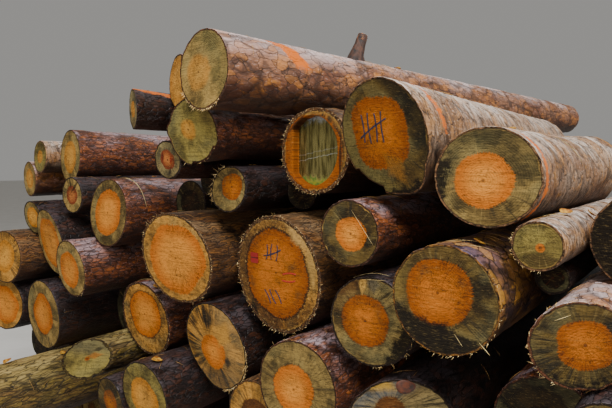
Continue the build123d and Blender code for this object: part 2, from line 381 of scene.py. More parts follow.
class Bark:
    """One sort of pine bark: its colours, the size of its scales and plates, and its relief.

    A scale is a thin flake that the shader draws, and a plate is a block between furrows that the
    mesh has. Widths go round the log, lengths along it, both in millimetres. gap is the width of
    the cracks between scales in shares of a scale, and streak how strong the dark strands are. The
    setting after gap is how strong the painted highlight on the top side is, and light is the pale
    colour of that painted highlight and of random pale flecks.
    """
    def __init__(self, plate, other, light, fresh, furrow, scale=(14, 44), block=(60, 120), depth=3.0,
                 gap=0.08, bleach=0.7, bump=2.5, roughness=0.62, streak=0.5):
        self.plate, self.other, self.light, self.fresh, self.furrow = plate, other, light, fresh, furrow
        self.scale = 1 / (np.array([scale[0], scale[0], scale[1]]) * MM)
        self.block = np.array([block[0], block[0], block[1]]) * MM
        self.depth, self.bump = depth * MM, bump * MM
        self.gap, self.bleach, self.roughness, self.streak = gap, bleach, roughness, streak
        self.material = None


BARKS = {
    # Thin reddish scales of the upper stem, with a painted highlight on top
    "red scales": Bark("#6e3a1e", "#4f2916", "#b3a0a6", "#a85c20", "#150b07"),
    # Broad flat plates with narrow black cracks between them
    "broad plates": Bark("#8f6144", "#6f4228", "#c2ada9", "#b8742c", "#1b0f09", (30, 52), (120, 150),
                         4.0, 0.03, 1.0, streak=0.3),
    # Papery bark of the crown, which peels in bands round the stem
    "papery bands": Bark("#a58a72", "#8a6240", "#d8cbc0", "#b37a30", "#24160d", (70, 18), (150, 60),
                         2.5, 0.06, 0.85, 1.8, streak=0.2),
    # Old bark, wet and nearly black
    "dark wet": Bark("#2a1c16", "#1c1311", "#5c5256", "#4f2a15", "#060404", (16, 40), depth=3.5,
                     roughness=0.5, bleach=0.5),
    # Brown fibrous strips along the log
    "fibrous": Bark("#4a2f1a", "#6b4522", "#9a7d58", "#8a5a26", "#120a06", (10, 90), (50, 200), 4.0,
                    0.1, 0.5),
    # Bark with outer plates knocked off, so that yellow and orange inner bark shows
    "patchy": Bark("#2c1e26", "#8a5c22", "#85708a", "#d09430", "#0b0606", (60, 50), (90, 120), 3.5,
                   0.05, 0.3),
    # Ridged mossy bark low in the stack
    "mossy": Bark("#6e5226", "#4e401a", "#b59e62", "#7c6626", "#0f0a06", (18, 110), (42, 330), 8.0,
                  0.08, 0.75),
}

# Sapwood, light and dark: the pale outer wood, weathered to olive, with blue stain and mould
SAPWOOD = {
    "olive": ("#806938", "#42361b"),
    "khaki": ("#987b42", "#604f28"),
    "straw": ("#b57f34", "#76521e"),
    "moss": ("#807036", "#4a401c"),
    "dark": ("#54421c", "#221a0c"),
    "grey": ("#857248", "#48402a"),
    "rusty": ("#8a561c", "#4e2c0e"),
    # Painted shade: nearly black, for ends that lie in the shaded gaps between the logs
    "nearly black": ("#1c150a", "#0a0704"),
}

# Heartwood, its middle and its outer part, orange with resin
HEARTWOOD = {
    "orange": ("#c07b2c", "#a8590e"),
    "tan": ("#be8636", "#a86b1a"),
    "deep": ("#a45b12", "#7e3e03"),
    "red": ("#a0602c", "#6d2f14"),
    "brown": ("#70421a", "#4a2a0c"),
    # Painted shade: nearly black, for ends that lie in the shaded gaps between the logs
    "nearly black": ("#20140a", "#0e0804"),
}


class Look:
    """Colours and marks of one log's sawn end, and the sort of its bark.

    heart is the heartwood's share of the radius and shift its place, in shares of the radius.
    soot is a blackened side: its direction to the right and up, and where it starts. rim is how
    wide the pale outer edge is, in millimetres, and shaggy how torn it is. A wash is a stained
    side in another colour, with its strength. Each patch is a crack, hole or strip: its place
    right and up, its angle, half its length and half its width, and its colour. fresh is how pale
    the wood's outer edge is, faint how little the heart stands out, and line a dark line round it.
    """
    def __init__(self, bark="red scales", sap="olive", wood="orange", heart=0.6, shift=(0.0, 0.0), stain=0.4,
                 soot=None, rim=7, shaggy=0.0, cracks=0.4, rings=0.3, washes=(), patches=(), fresh=0.3,
                 faint=0.0, line=0.0):
        self.bark, self.sap, self.wood = BARKS[bark], SAPWOOD[sap], HEARTWOOD[wood]
        self.heart, self.shift, self.stain, self.soot = heart, shift, stain, soot
        self.rim, self.shaggy, self.cracks, self.rings = rim * MM, shaggy, cracks, rings
        self.washes, self.patches = washes, patches
        self.fresh, self.faint, self.line = fresh, faint, line
        self.material = None


LOOKS = {
    "long_top_log": Look("broad plates", "khaki", "tan", 0.46, (-0.2, -0.04), 0.35, faint=0.4,
                         washes=((0.7, 0.5, 0.3, "#57512c", 0.45),)),
    "short_top_log": Look("papery bands", "olive", "orange", 0.53, (-0.07, -0.07), 0.45, (-1, 0.0, 0.72),
                          cracks=0.1, rings=0.8, washes=((0.5, 0.9, 0.35, "#37311a", 0.5),
                                                         (-0.6, 1, 0.5, "#2f2b18", 0.4))),
    "flared_butt_log": Look("papery bands", "dark", "deep", 0.63, (-0.09, 0.02), 0.5, (0.2, -1, 0.9),
                            washes=((1, 0.55, 0.55, "#14110a", 0.75), (-1, -0.6, 0.3, "#6a6034", 0.6)),
                            patches=((0.24, -0.58, 128, 0.3, 0.2, "#85581c"),)),
    "hollow_log": Look("fibrous", "rusty", "deep", 0.84, (-0.08, -0.06), 0.9, rim=26, shaggy=0.9,
                       # The two near-black strips are painted shadow: the shade in the gap beside the mirror
                       # pane, at the upper left and at the right.
                       patches=((-0.45, 0.68, 38, 0.42, 0.05, "#0c0604"),
                                (0.80, -0.05, 88, 0.8, 0.035, "#1a0c06"))),
    "tagged_log": Look("fibrous", "straw", "deep", 0.715, (0, 0.02), 0.5, (-0.7, -0.8, 0.95), 20, 0.9,
                       line=0.9,
                       washes=((-1, -0.5, 0.3, "#3c2410", 0.8), (0.2, -1, 0.55, "#4a2c12", 0.6),
                               (-0.4, 1, 0.55, "#53381a", 0.6)),
                       patches=((0.52, 0.70, 138, 0.4, 0.16, "#a8844a"),
                                (0.82, 0.22, 92, 0.4, 0.12, "#a07c40"))),
    "teardrop_log": Look("dark wet", "straw", "orange", 0.40, (-0.1, -0.17), 1.0, cracks=0.8, rim=12,
                         washes=((-0.2, -1, 0.45, "#2c2e28", 0.6), (1, 0.3, 0.35, "#94784c", 0.35)),
                         patches=((0.42, 0.50, 60, 0.35, 0.25, "#a87830"),
                                  (0.45, -0.15, 80, 0.14, 0.12, "#151a1a"),
                                  (-0.05, 0.75, 95, 0.25, 0.22, "#15130f"))),
    "slant_cut_log": Look("mossy", "moss", "deep", 0.10, stain=0.3, cracks=0.1, fresh=0.0,
                          washes=((0.2, 1, 0.25, "#57523a", 0.7),),
                          patches=((0.25, 0.15, 10, 0.3, 0.15, "#8a5418"),
                                   (0.35, 0.45, 20, 0.2, 0.1, "#1f1a12"))),
    "jutting_log": Look("mossy", "moss", "brown", 0.4, stain=0.7),
    "front_log_01": Look("red scales", "khaki", "tan", 0.62, stain=0.5, faint=0.15, fresh=0.5),
    "front_log_02": Look("papery bands", "moss", "tan", 0.4, faint=0.2),
    "front_log_03": Look("broad plates", "khaki", "tan", 0.55, faint=0.2, fresh=0.6),
    "front_log_04": Look("dark wet", "olive", "tan", 0.62),
    "front_log_05": Look("dark wet", "khaki", "orange", 0.74, stain=0.3, faint=0.1),
    "front_log_06": Look("red scales", "khaki", "orange", 0.62, (-0.1, -0.05)),
    "front_log_07": Look("fibrous", "straw", "tan", 0.6, stain=0.8, cracks=0.8),
    "front_log_08": Look("dark wet", "straw", "orange", 0.7),
    "front_log_09": Look("dark wet", "khaki", "orange", 0.60, stain=0.7, line=0.4, fresh=0.6),
    "front_log_10": Look("dark wet", "dark", "deep", 0.5, stain=0.8, faint=0.2),
    "front_log_11": Look("dark wet", "moss", "tan", 0.62, (0, -0.1), 0.4, fresh=0.6, rim=5),
    "front_log_12": Look("red scales", "straw", "orange", 0.64, (0, 0.12), 0.3, rim=12, shaggy=0.7, line=0.7),
    "front_log_13": Look("fibrous", "straw", "orange", 0.77, stain=0.25, rim=18, shaggy=0.5, rings=0.2),
    "front_log_14": Look("red scales", "olive", "orange", 0.66, stain=0.5),
    "front_log_15": Look("dark wet", "khaki", "red", 0.5, stain=0.8, cracks=1.0,
                         patches=((0.3, 0.45, 40, 0.6, 0.10, "#0c0604"),
                                  (-0.1, 0.6, 100, 0.4, 0.08, "#0c0604"))),
    "front_log_16": Look("dark wet", "grey", "tan", 0.4),
    "front_log_17": Look("red scales", "straw", "tan", 0.8, stain=0.6, faint=0.4,
                         patches=((0.35, 0.75, 60, 0.2, 0.12, "#0c0604"),)),
    "front_log_18": Look("red scales", "moss", "tan", 0.3, (-0.15, 0.1), 0.3, faint=0.3,
                         patches=((-1.12, -0.15, 70, 0.16, 0.12, "#2a0e06"),)),
    "front_log_19": Look("dark wet", "grey", "red", 0.5, stain=0.5, cracks=0.9,
                         patches=((-0.35, 0.15, 85, 0.3, 0.12, "#4a0c06"),
                                  (0.25, 0.0, 85, 0.3, 0.10, "#7a1c0c"),
                                  (0.1, -0.6, 60, 0.25, 0.1, "#1c120e"))),
    "front_log_20": Look("dark wet", "olive", "deep", 0.55, (0.18, 0.1), 0.5),
    "front_log_21": Look("red scales", "dark", "orange", 0.51, (0.06, 0.0), 0.6, rim=5, fresh=0.9),
    "front_log_22": Look("patchy", "dark", "deep", 0.6, (-0.10, 0.12), 0.5, (-0.25, -1, 0.52), fresh=0.6,
                         washes=((-1, 0.2, 0.7, "#8a7234", 0.5),)),
    "front_log_23": Look("dark wet", "olive", "deep", 0.57, (-0.13, 0.0), 0.8, (1, -0.2, 0.75), line=0.4,
                         washes=((-0.7, 1, 0.7, "#4c2e12", 0.7),),
                         patches=((-0.05, 0.80, 84, 0.22, 0.09, "#b88c42"),
                                  (0.20, 0.82, 90, 0.2, 0.16, "#474235"),
                                  (0.50, 0.62, 40, 0.22, 0.035, "#0c0805"))),
    "front_log_24": Look("red scales", "olive", "orange", 0.5, (-0.07, -0.04), 0.6, line=0.3),
    "front_log_25": Look("dark wet", "grey", "brown", 0.3, (-0.2, 0.3), 1.0, cracks=0.8,
                         washes=((-0.6, 0.8, 0.3, "#54585a", 0.5),),
                         patches=((-0.22, 0.62, 150, 0.35, 0.25, "#a07a26"),)),
    "front_log_26": Look("papery bands", "moss", "orange", 0.16, (0.1, -0.05), 0.3, fresh=0.5),
    "front_log_27": Look("broad plates", "dark", "deep", 0.52, (0.05, 0.03), 0.9, (0, -1, 0.7)),
    "front_log_28": Look("dark wet", "dark", "brown", 0.4, stain=0.9),
    "front_log_29": Look("fibrous", "straw", "brown", 0.5, stain=0.8),
    # Painted shade: this end lies in shade between the logs and is drawn nearly black
    "inner_log_09": Look("red scales", "nearly black", "nearly black", 0.45, fresh=0.0),
    "inner_log_16": Look("papery bands", "dark", "brown", 0.45, stain=0.9, soot=(-1, -0.3, 0.3)),
}

# Logs that the photograph doesn't show, and those whose ends lie in its black gaps
HIDDEN_LOOKS = (
    Look("red scales", "dark", "deep", 0.52, (0.1, 0.05), 0.7, fresh=0.4),
    Look("fibrous", "olive", "deep", 0.6, (-0.1, 0.1), 0.6, (0.4, -1, 0.7), shaggy=0.5, rim=12),
    Look("dark wet", "khaki", "brown", 0.48, (0, -0.1), 0.8, cracks=0.8),
)
# Painted shade: ends in the shaded gaps between the logs get nearly black sapwood and heartwood
SHADED_GAP_LOOK = Look("dark wet", "nearly black", "nearly black", fresh=0.0)
IN_THE_GAPS = {"small_inner_logs",
               *(f"inner_log_{number:02d}" for number in (4, 5, 6, 8, 10, 13, 14, 15, 17, 18))}


# Growth rings are drawn about twice as wide as real ones, so that they show. The bark is cut to a
# thin rim round them.
RING_WIDTH = 6.5 * MM
BARK_RIM = 4 * MM


def sawn_end(name, look, size):
    """Chainsawn pine, weathered: matt, with rings, heartwood, stained sapwood and a thin rim of bark.

    The stain and the drying cracks follow the direction from the pith, so they run outwards. The rings
    are sines of the distance from the pith, and the saw's marks are noise stretched to one side.
    """
    material, add = new_material(name)
    pith = add("Attribute", attribute_name="pith", out="Vector")
    rim = add("Attribute", attribute_name="rim", out="Fac")
    heart = add("Attribute", attribute_name="heart", out="Fac")
    flat = add("VectorMath MULTIPLY", pith, (1, 1, 0))
    radius = add("VectorMath LENGTH", flat, out="Value")
    outward = add("VectorMath NORMALIZE", flat)
    near_pith = add("VectorMath MULTIPLY", pith, (3, 3, 1))
    spokes = add("VectorMath MULTIPLY_ADD", outward, (4.5, 4.5, 0), near_pith)
    streak = add("TexNoise", Vector=spokes, Scale=1.6, Detail=5.0, Roughness=0.65)
    rays = add("TexNoise", Vector=spokes, Scale=7.0, Detail=3.0, Roughness=0.6)
    # Spots of about 180, 80, 20, 17 and 7 mm
    blotch, patch, resin, shag, speck = (
        add("TexNoise", Vector=pith, Scale=scale, Detail=detail, Roughness=roughness)
        for scale, detail, roughness in (
            (5.5, 3.0, 0.6), (13.0, 4.0, 0.6), (48.0, 3.0, 0.6), (60.0, 4.0, 0.7), (150.0, 3.0, 0.7)))
    slow = add("TexNoise", Vector=pith, Scale=9.0, Detail=2.0)
    wobble = add("Math MULTIPLY_ADD", slow, 0.022, radius)
    wave = add("Math SINE", add("Math MULTIPLY", wobble, TURN / RING_WIDTH))
    late = add("MapRange SMOOTHSTEP", wave, -0.2, 1.0)
    late = add("Math MULTIPLY", late, add("MapRange", patch, 0.3, 0.6))
    # The saw's marks and the torn flecks run across the end, at an angle of its own
    marks, fleck = (
        add("TexNoise", Vector=add("Mapping", pith, Rotation=(0, 0, 0.35 * len(name)), Scale=stretch),
            Scale=1.0, Detail=detail, Roughness=roughness)
        for stretch, detail, roughness in (((5, 130, 1), 3.0, 0.6), ((60, 240, 1), 4.0, 0.7)))

    # Sapwood: blotches, rings, dark stain along the rays, washes, torn fibres and a pale outer edge
    sap = add("MixRGB", add("MapRange SMOOTHSTEP", patch, 0.40, 0.62), *look.sap)
    for low, high, most, tint in ((0.50, 0.66, 0.55, "#3f2c12"), (0.48, 0.34, 0.40, "#6d6844")):
        sap = add("MixRGB", add("MapRange", blotch, low, high, 0.0, most), sap, tint)
    sap = add("MixRGB", add("Math MULTIPLY", late, look.rings * 0.5), sap, "#2a2412")
    low = 0.61 - 0.15 * look.stain
    stained = add("MapRange SMOOTHSTEP", streak, low, low + 0.12, 0.0, 0.35 + 0.6 * look.stain)
    clusters = add("MapRange", add("TexNoise", Vector=pith, Scale=8.0, Detail=2.0), 0.36, 0.54)
    sap = add("MixRGB", add("Math MULTIPLY", stained, clusters), sap, "#1b1913")
    pale = add("MapRange SMOOTHSTEP", streak, 0.42, 0.30, 0.0, 0.24)
    sap = add("MixRGB", pale, sap, "#a89056")
    for right, up, start, colour, strength in look.washes:
        reach = math.hypot(right, up)
        side = add("VectorMath DOT_PRODUCT", flat, (right / reach, up / reach, 0), out="Value")
        ragged_side = add("Math MULTIPLY_ADD", blotch, 0.14, side)
        middle = start * size + 0.07
        wash = add("MapRange", ragged_side, middle - 0.02, middle + 0.03, 0.0, strength)
        sap = add("MixRGB", wash, sap, colour)
    if look.shaggy:
        for low, high, most, tint in ((0.48, 0.62, 0.8, "#2c1a0a"), (0.42, 0.30, 0.6, "#c2a062")):
            sap = add("MixRGB", add("MapRange", shag, low, high, 0.0, most * look.shaggy), sap, tint)
    edge = add("Math SUBTRACT", add("Math MULTIPLY", patch, 0.03), rim)
    fresh = add("MapRange SMOOTHSTEP", edge, 0.014 - look.rim, 0.018 - look.rim * 0.7, 0.0, look.fresh)
    sap = add("MixRGB", fresh, sap, "#b98f45")

    # Heartwood: rings, streaks, patches and resin, to an edge that follows the rays
    core = add("MixRGB", add("MapRange SMOOTHSTEP", heart, 0.02, 0.42), look.wood[1], look.wood[0])
    core = add("MixRGB", add("Math MULTIPLY", late, look.rings), core, look.wood[1])
    for pattern, low, high, most, tint in (
            (streak, 0.56, 0.74, 0.4, "#5f2a0c"), (patch, 0.58, 0.70, 0.5, "#4b3416"),
            (resin, 0.60, 0.72, 0.6, "#3f1a06")):
        core = add("MixRGB", add("MapRange", pattern, low, high, 0.0, most), core, tint)
    core = add("MixRGB", look.faint, core, sap)
    from_mean = add("Math SUBTRACT", rays, 0.5)
    ragged = add("Math MULTIPLY_ADD", from_mean, 0.16, heart)
    in_heart = add("MapRange SMOOTHSTEP", ragged, -0.012 - 0.1 * look.faint, 0.022 + 0.2 * look.faint)
    wood = add("MixRGB", in_heart, sap, core)
    if look.line:
        heart_line = add("Math ABSOLUTE", ragged)
        wood = add("MixRGB", add("MapRange", heart_line, 0.030, 0.010, 0.0, look.line), wood, "#1c0e06")

    if look.soot:
        right, up, start = look.soot
        side = add("VectorMath DOT_PRODUCT", flat, (right, up, 0), out="Value")
        ragged_side = add("Math MULTIPLY_ADD", patch, 0.16, side)
        ragged_side = add("Math MULTIPLY_ADD", speck, 0.05, ragged_side)
        start = start * size + 0.105
        black = add("MapRange SMOOTHSTEP", ragged_side, start - 0.010, start + 0.012, 0.0, 0.94)
        wood = add("MixRGB", black, wood, "#0b0603")
    for right, up, degrees, half_length, half_width, colour in look.patches:
        ahead, aside = math.cos(math.radians(degrees)), math.sin(math.radians(degrees))
        offset = add("VectorMath SUBTRACT", flat, (right * size, up * size, 0))
        spread = add("Math MULTIPLY_ADD", rays, 0.7, add("Math MULTIPLY", patch, 0.9))
        for way, half in (((ahead, aside, 0), half_length), ((-aside, ahead, 0), half_width)):
            away = add("VectorMath DOT_PRODUCT", offset, way, out="Value")
            away = add("Math ABSOLUTE", away)
            spread = add("Math MULTIPLY_ADD", away, 1 / (half * size), spread)
        wood = add("MixRGB", add("MapRange", spread, 2.1, 1.45, 0.0, 0.8), wood, colour)
    for pattern, low, high, most, tint in (
            (marks, 0.52, 0.70, 0.34, "#2b2212"), (fleck, 0.50, 0.68, 0.5, "#1c150b"),
            (speck, 0.54, 0.68, 0.55, "#1a140b"), (fleck, 0.44, 0.28, 0.22, "#a88c52")):
        wood = add("MixRGB", add("MapRange", pattern, low, high, 0.0, most), wood, tint)
    # Drying cracks: where a fine noise of the direction passes its mean
    cracked = add("TexNoise", Vector=pith, Scale=7.0, Detail=1.0)
    reach = add("MapRange", cracked, 0.52, 0.60, 0.0, look.cracks)
    crack = add("MapRange", add("Math ABSOLUTE", from_mean), 0.014, 0.004)
    crack = add("Math MULTIPLY", crack, reach)
    wood = add("MixRGB", crack, wood, "#0b0705")
    wood = add("MixRGB", add("MapRange", radius, 0.006, 0.003, 0.0, 0.7), wood, "#3a1d0c")
    # The bark is a thin dark rim of uneven width, paler and shaggy where its fibres hang out
    width = add("Math MULTIPLY_ADD", shag, 0.006 + 0.016 * look.shaggy, BARK_RIM - 0.002)
    inside = add("Math SUBTRACT", width, rim)
    cut_bark = add("MixRGB", add("MapRange", shag, 0.40, 0.66, 0.0, 0.75), "#1a0f08", look.bark.other)
    fibres = add("MapRange", speck, 0.56, 0.66, 0.0, 0.2 + 0.5 * look.shaggy)
    cut_bark = add("MixRGB", fibres, cut_bark, "#c8b184")
    wood = add("MixRGB", add("MapRange", inside, -0.0008, 0.0008), wood, cut_bark)
    seam = add("MapRange", add("Math ABSOLUTE", inside), 0.0022, 0.0006, 0.0, 0.75)
    wood = add("MixRGB", seam, wood, "#150d08")

    height = add("Math MULTIPLY_ADD", late, 0.25, add("Math MULTIPLY", marks, 1.1))
    for pattern, share in ((fleck, 0.8), (crack, -1.5)):
        height = add("Math MULTIPLY_ADD", pattern, share, height)
    relief = add("Bump", Strength=1.0, Distance=3 * MM, Height=height)
    shader = add("BsdfPrincipled", wood, Roughness=0.85, Normal=relief, Specular_IOR_Level=0.15)
    add("OutputMaterial", shader)
    return material


def bark_surface(name, bark):
    """Pine bark: thin scales, each with its own tint, between dark cracks.

    The top side has a painted highlight and the underside painted shade, by the attribute sky. Where a scale
    has fallen off, the fresh orange layer below it shows.
    """
    material, add = new_material(name)
    grain = add("Attribute", attribute_name="grain", out="Vector")
    furrow, block, sky, paint = (
        add("Attribute", attribute_name=key, out="Fac") for key in ("furrow", "plate", "sky", "paint"))
    bend = add("TexNoise", Vector=grain, Scale=16.0, Detail=3.0, out="Color")
    bent = add("VectorMath MULTIPLY_ADD", bend, (0.035, 0.035, 0.05), grain)
    scales = add("Mapping", bent, Scale=tuple(bark.scale))
    cell = add("TexVoronoi", Vector=scales, Scale=1.0, out="Color")
    edges = add("TexVoronoi", Vector=scales, Scale=1.0, feature="DISTANCE_TO_EDGE")
    tint = add("SeparateColor", cell)
    lifted = add("SeparateColor", cell, out="Green")
    # Spots of about 140, 33, 6 and 17 mm, drawn out along the log, the last ones to strands
    broad, mottle, fine, strand = (
        add("TexNoise", Vector=add("Mapping", place, Scale=(1, 1, stretch)), Scale=scale, Detail=detail,
            Roughness=roughness)
        for place, stretch, scale, detail, roughness in (
            (grain, 0.5, 7.0, 4.0, 0.6), (bent, 0.5, 30.0, 5.0, 0.65), (bent, 0.3, 170.0, 4.0, 0.7),
            (grain, 0.08, 60.0, 4.0, 0.6)))

    colour = add("MixRGB", add("MapRange SMOOTHSTEP", broad, 0.40, 0.60), bark.plate, bark.other)
    for pattern, low, high, most, shade in (
            (tint, 0.45, 1.0, 0.6, bark.fresh), (lifted, 0.5, 1.0, 0.5, bark.furrow),
            (mottle, 0.56, 0.68, 0.8, bark.fresh), (strand, 0.52, 0.66, bark.streak, bark.furrow)):
        colour = add("MixRGB", add("MapRange", pattern, low, high, 0.0, most), colour, shade)
    # Painted highlight: the top side turns pale in patches, in the light colour, standing for sheen from the
    # sky above
    upward = add("MapRange SMOOTHSTEP", sky, 0.15, 0.95)
    sheen_spread = add("MapRange", add("Math ADD", mottle, block), 0.62, 1.15, 0.0, bark.bleach)
    pale = add("MixRGB", add("MapRange", tint, 0.35, 0.9, 0.0, 0.45), bark.light, bark.fresh)
    colour = add("MixRGB", add("Math MULTIPLY", upward, sheen_spread), colour, pale)
    for low, high, most, shade in ((0.50, 0.72, 0.55, bark.furrow), (0.44, 0.30, 0.4, bark.light)):
        colour = add("MixRGB", add("MapRange", fine, low, high, 0.0, most), colour, shade)
    gap = add("MapRange", edges, bark.gap, bark.gap * 0.3, 0.0, 0.75)
    colour = add("MixRGB", gap, colour, bark.furrow)
    colour = add("MixRGB", add("MapRange", furrow, 0.35, 0.9, 0.0, 0.6), colour, bark.furrow)
    # Painted shade: the underside darkens towards near black brown, and the colour mixed in on the next line
    # is this painted shade's colour
    underside_shade = add("MapRange SMOOTHSTEP", add("Math MULTIPLY_ADD", mottle, 0.8, sky), 0.42, -0.35, 0.0, 0.85)
    wet = add("MixRGB", add("MapRange", broad, 0.4, 0.6), "#0d0705", "#2a120a")
    colour = add("MixRGB", underside_shade, colour, wet)
    # Sprayed orange mark, ragged at its edges and worn off the edges of the scales
    for pattern, ragged in ((fine, 0.04), (mottle, 0.06)):
        from_mean = add("Math SUBTRACT", pattern, 0.5)
        paint = add("Math MULTIPLY_ADD", from_mean, ragged, paint)
    colour = add("MixRGB", add("MapRange", paint, -0.001, 0.009, 0.0, 0.95), colour, "#c86200")

    height = add("Math MULTIPLY_ADD", gap, -0.9, add("Math MULTIPLY", mottle, 0.7))
    for pattern, share in ((tint, 0.55), (fine, 0.35), (strand, 0.5 * bark.streak)):
        height = add("Math MULTIPLY_ADD", pattern, share, height)
    relief = add("Bump", Strength=1.0, Distance=bark.bump, Height=height)
    shader = add("BsdfPrincipled", colour, Roughness=bark.roughness, Normal=relief, Specular_IOR_Level=0.35)
    add("OutputMaterial", shader)
    return material


# Logs

# Sprayed marks: how far behind the cut the middle lies at 75 degrees, how much further for each degree
# less, half the width, the middle angle, half the reach, and where the angles start to count
SPRAYED = {
    "long_top_log": (0.25, 0.0014, 0.042, 60, 50, 0),
    "flared_butt_log": (0.125, 0.0, 0.013, 48, 62, 0),
    "short_top_log": (0.035, 0.0, 0.013, 0, 75, -180),
}


def paint_marks(name, angle, behind):
    """How far inside a sprayed mark a point of the bark lies, negative outside it.

    angle runs from the right over the top, and behind is the distance from the sawn end.
    """
    degrees = np.degrees(angle)
    if name in SPRAYED:
        place, lean, half_width, middle, half_reach, start = SPRAYED[name]
        degrees = (degrees - start) % 360 + start
        off_middle = np.abs(behind - (place + lean * (75 - degrees)))
        return np.minimum(half_width - off_middle, (half_reach - np.abs(degrees - middle)) * 0.002)
    if name == "front_log_16":
        return np.minimum((13 - np.abs(degrees - 78 + 150 * behind)) * 0.0015, 0.34 - behind)
    return np.full(angle.shape, -1.0)


def hollow_mouth(angle):
    """Distance from the log's axis to the hollow's edge: an ellipse, cut off straight at the left."""
    half_width = (HOLLOW_WIDTH + HOLLOW_FLAT) / 2
    half_height = HOLLOW_HEIGHT / 2
    right, up = np.cos(angle), np.sin(angle)
    # A ray from the axis meets the ellipse, whose middle lies half the flat to the left
    shift = HOLLOW_FLAT / 2
    a = (right / half_width)**2 + (up / half_height)**2
    b = right * shift / half_width**2
    c = (shift / half_width)**2 - 1
    oval = (-b + np.sqrt(b * b - a * c)) / a
    wall = (half_width + shift - HOLLOW_FLAT) / np.maximum(-right, 1e-3)
    return np.minimum(oval, wall)


def end_rings(outline, angle, count, mouth=None):
    """Offsets, depths and distances of an end's rings, from its edge to the pith or the hollow's floor."""
    shares = np.linspace(0, 1, count + 1)[:, None]
    reach = outline - WORN_EDGE
    inner = 0 * outline if mouth is None else mouth
    distance = reach + (inner - reach) * shares
    depth = np.zeros(distance.shape)
    if mouth is None:
        distance, depth = distance[:-1], depth[:-1]
    else:
        wall, shrink = np.array(HOLLOW_RINGS).T[..., None]
        distance = np.concatenate([distance, mouth * shrink])
        depth = np.concatenate([depth, np.broadcast_to(HOLLOW_DEPTH * wall, (len(wall), len(outline)))])
    return (*polar(distance, angle), depth, distance)


def grow_log(name, label, stem, look, seed, fineness):
    """A log as one closed surface: a grid round and along the bark, and rings of points on both ends.

    A point of the bark lies at the CAD's distance from the axis less the relief, which is the
    furrows between plates, a step of each plate and a slow wave. The rings of an end run from the
    bark's edge to the pith, in the plane of the saw cut, roughened by noise stretched across it.
    """
    around, rows = fineness
    bark = look.bark
    angle = np.arange(around) * TURN / around
    outline = stem.bark_distance(angle, np.full(around, IN_FRONT))
    front = stem.saw_depth(*polar(outline, angle))
    share = np.linspace(0, 1, rows - 2)**1.35
    length = stem.end - front[None, :]
    along = front[None, :] + WORN_EDGE + share[:, None] * (length - 2 * WORN_EDGE)
    along = np.concatenate([front[None, :], along, np.full((1, around), stem.end)])
    angles = np.broadcast_to(angle, along.shape)
    distance = stem.bark_distance(angles, along)
    spot = np.stack([*polar(distance, angles), along + NEXT_BARK * seed], axis=-1)
    warp = np.stack([noise(spot * 14, seed + n) for n in (1, 2, 3)], axis=-1) - 0.5
    near, second, number = plates((spot + warp * 0.06) / bark.block, seed)
    furrow = 1 - ramp(second - near, 0.01, 0.13)
    wave = noise(spot * np.array([5, 5, 2.5]), seed + 11)
    rough = layered(spot * np.array([55, 55, 30]), seed + 17)
    inner = distance - bark.depth * (0.65 * furrow + 0.35 * number)
    inner = inner - BARK_WAVE * wave - BARK_ROUGHNESS * rough
    inner[[0, -1]] -= 0.4 * WORN_EDGE
    sides = stem.point(*polar(inner, angles), along)

    seam = NEXT_END * seed
    pith = np.array(look.shift) * stem.radius
    heart_edge = look.heart * stem.radius * (0.88 + 0.24 * noise(
        np.stack([*polar(1.6, angle), np.full(around, seam)], axis=-1), seed))
    count = along.size
    blank = np.zeros(count)
    points, grain, piths = [sides.reshape(-1, 3)], [spot.reshape(-1, 3)], [np.zeros((count, 3))]
    rims, hearts, indices = [blank], [blank - 1], [np.zeros((rows - 1) * around)]
    faces = [quads(rows, around)[:, ::-1]]
    for at_back, ring_count in ((False, FRONT_RINGS), (True, BACK_RINGS)):
        edge_ring = (rows - 1) * around if at_back else 0
        row = inner[-1 if at_back else 0]
        mouth = hollow_mouth(angle) if label == "hollow_log" and not at_back else None
        across, up, sunk, reach = end_rings(row, angle, ring_count, mouth)
        across, up, sunk = (np.append(grid.ravel(), last) for grid, last in
                            ((across, 0.0), (up, 0.0), (sunk, sunk[-1, 0])))
        rim = np.append(np.maximum(row - reach, 0).ravel(), row.mean())
        fibres = layered(np.stack([across * 12, up * 60, np.full(len(up), seam)], axis=-1), seed + 5)
        sunk = sunk + np.where(sunk > 0, 0.0, SAW_ROUGHNESS * np.abs(fibres - 0.5) * ramp(rim, 0.0, 0.02))
        depth = stem.end - sunk if at_back else stem.saw_depth(across, up) + sunk
        points.append(stem.point(across, up, depth))
        grain.append(np.stack([across, up, depth + NEXT_BARK * seed], axis=-1))
        height = np.full(len(up), seam + BACK_END * at_back)
        from_pith = np.stack([across - pith[0], up - pith[1], height], axis=-1)
        bark_edge = np.stack([*(polar(row, angle) - pith[:, None]), height[:around]], axis=-1)
        piths[0][edge_ring:edge_ring + around] = bark_edge
        hearts[0][edge_ring:edge_ring + around] = (heart_edge - np.hypot(*bark_edge.T[:2])) / stem.radius
        piths.append(from_pith)
        rims.append(rim)
        ring_total = len(sunk) // around
        heart_here = np.append(np.tile(heart_edge, ring_total), heart_edge.mean())
        hearts.append((heart_here - np.hypot(across - pith[0], up - pith[1])) / stem.radius)
        rings = [edge_ring + np.arange(around)]
        rings += [count + n * around + np.arange(around) for n in range(ring_total)]
        bands = [np.stack([outer, ring, np.roll(ring, -1), np.roll(outer, -1)], axis=-1)
                 for outer, ring in zip(rings, rings[1:])]
        for band in bands + [fan(rings[-1], count + ring_total * around)]:
            faces.append(band if at_back else band[:, ::-1])
            indices.append(np.ones(len(band)))
        count += len(sunk)
    piece = new_piece(name, np.concatenate(points), faces, [bark.material, look.material],
                      np.concatenate(indices), label)
    for key, values in (("grain", grain), ("pith", piths), ("rim", rims), ("heart", hearts)):
        keep(piece, key, np.concatenate(values))
    behind = along - front[None, :]
    for key, values in (("furrow", furrow), ("plate", number), ("sky", np.sin(angles)),
                        ("paint", paint_marks(label, angles, behind))):
        keep(piece, key, np.append(values.ravel(), np.zeros(count - along.size)))


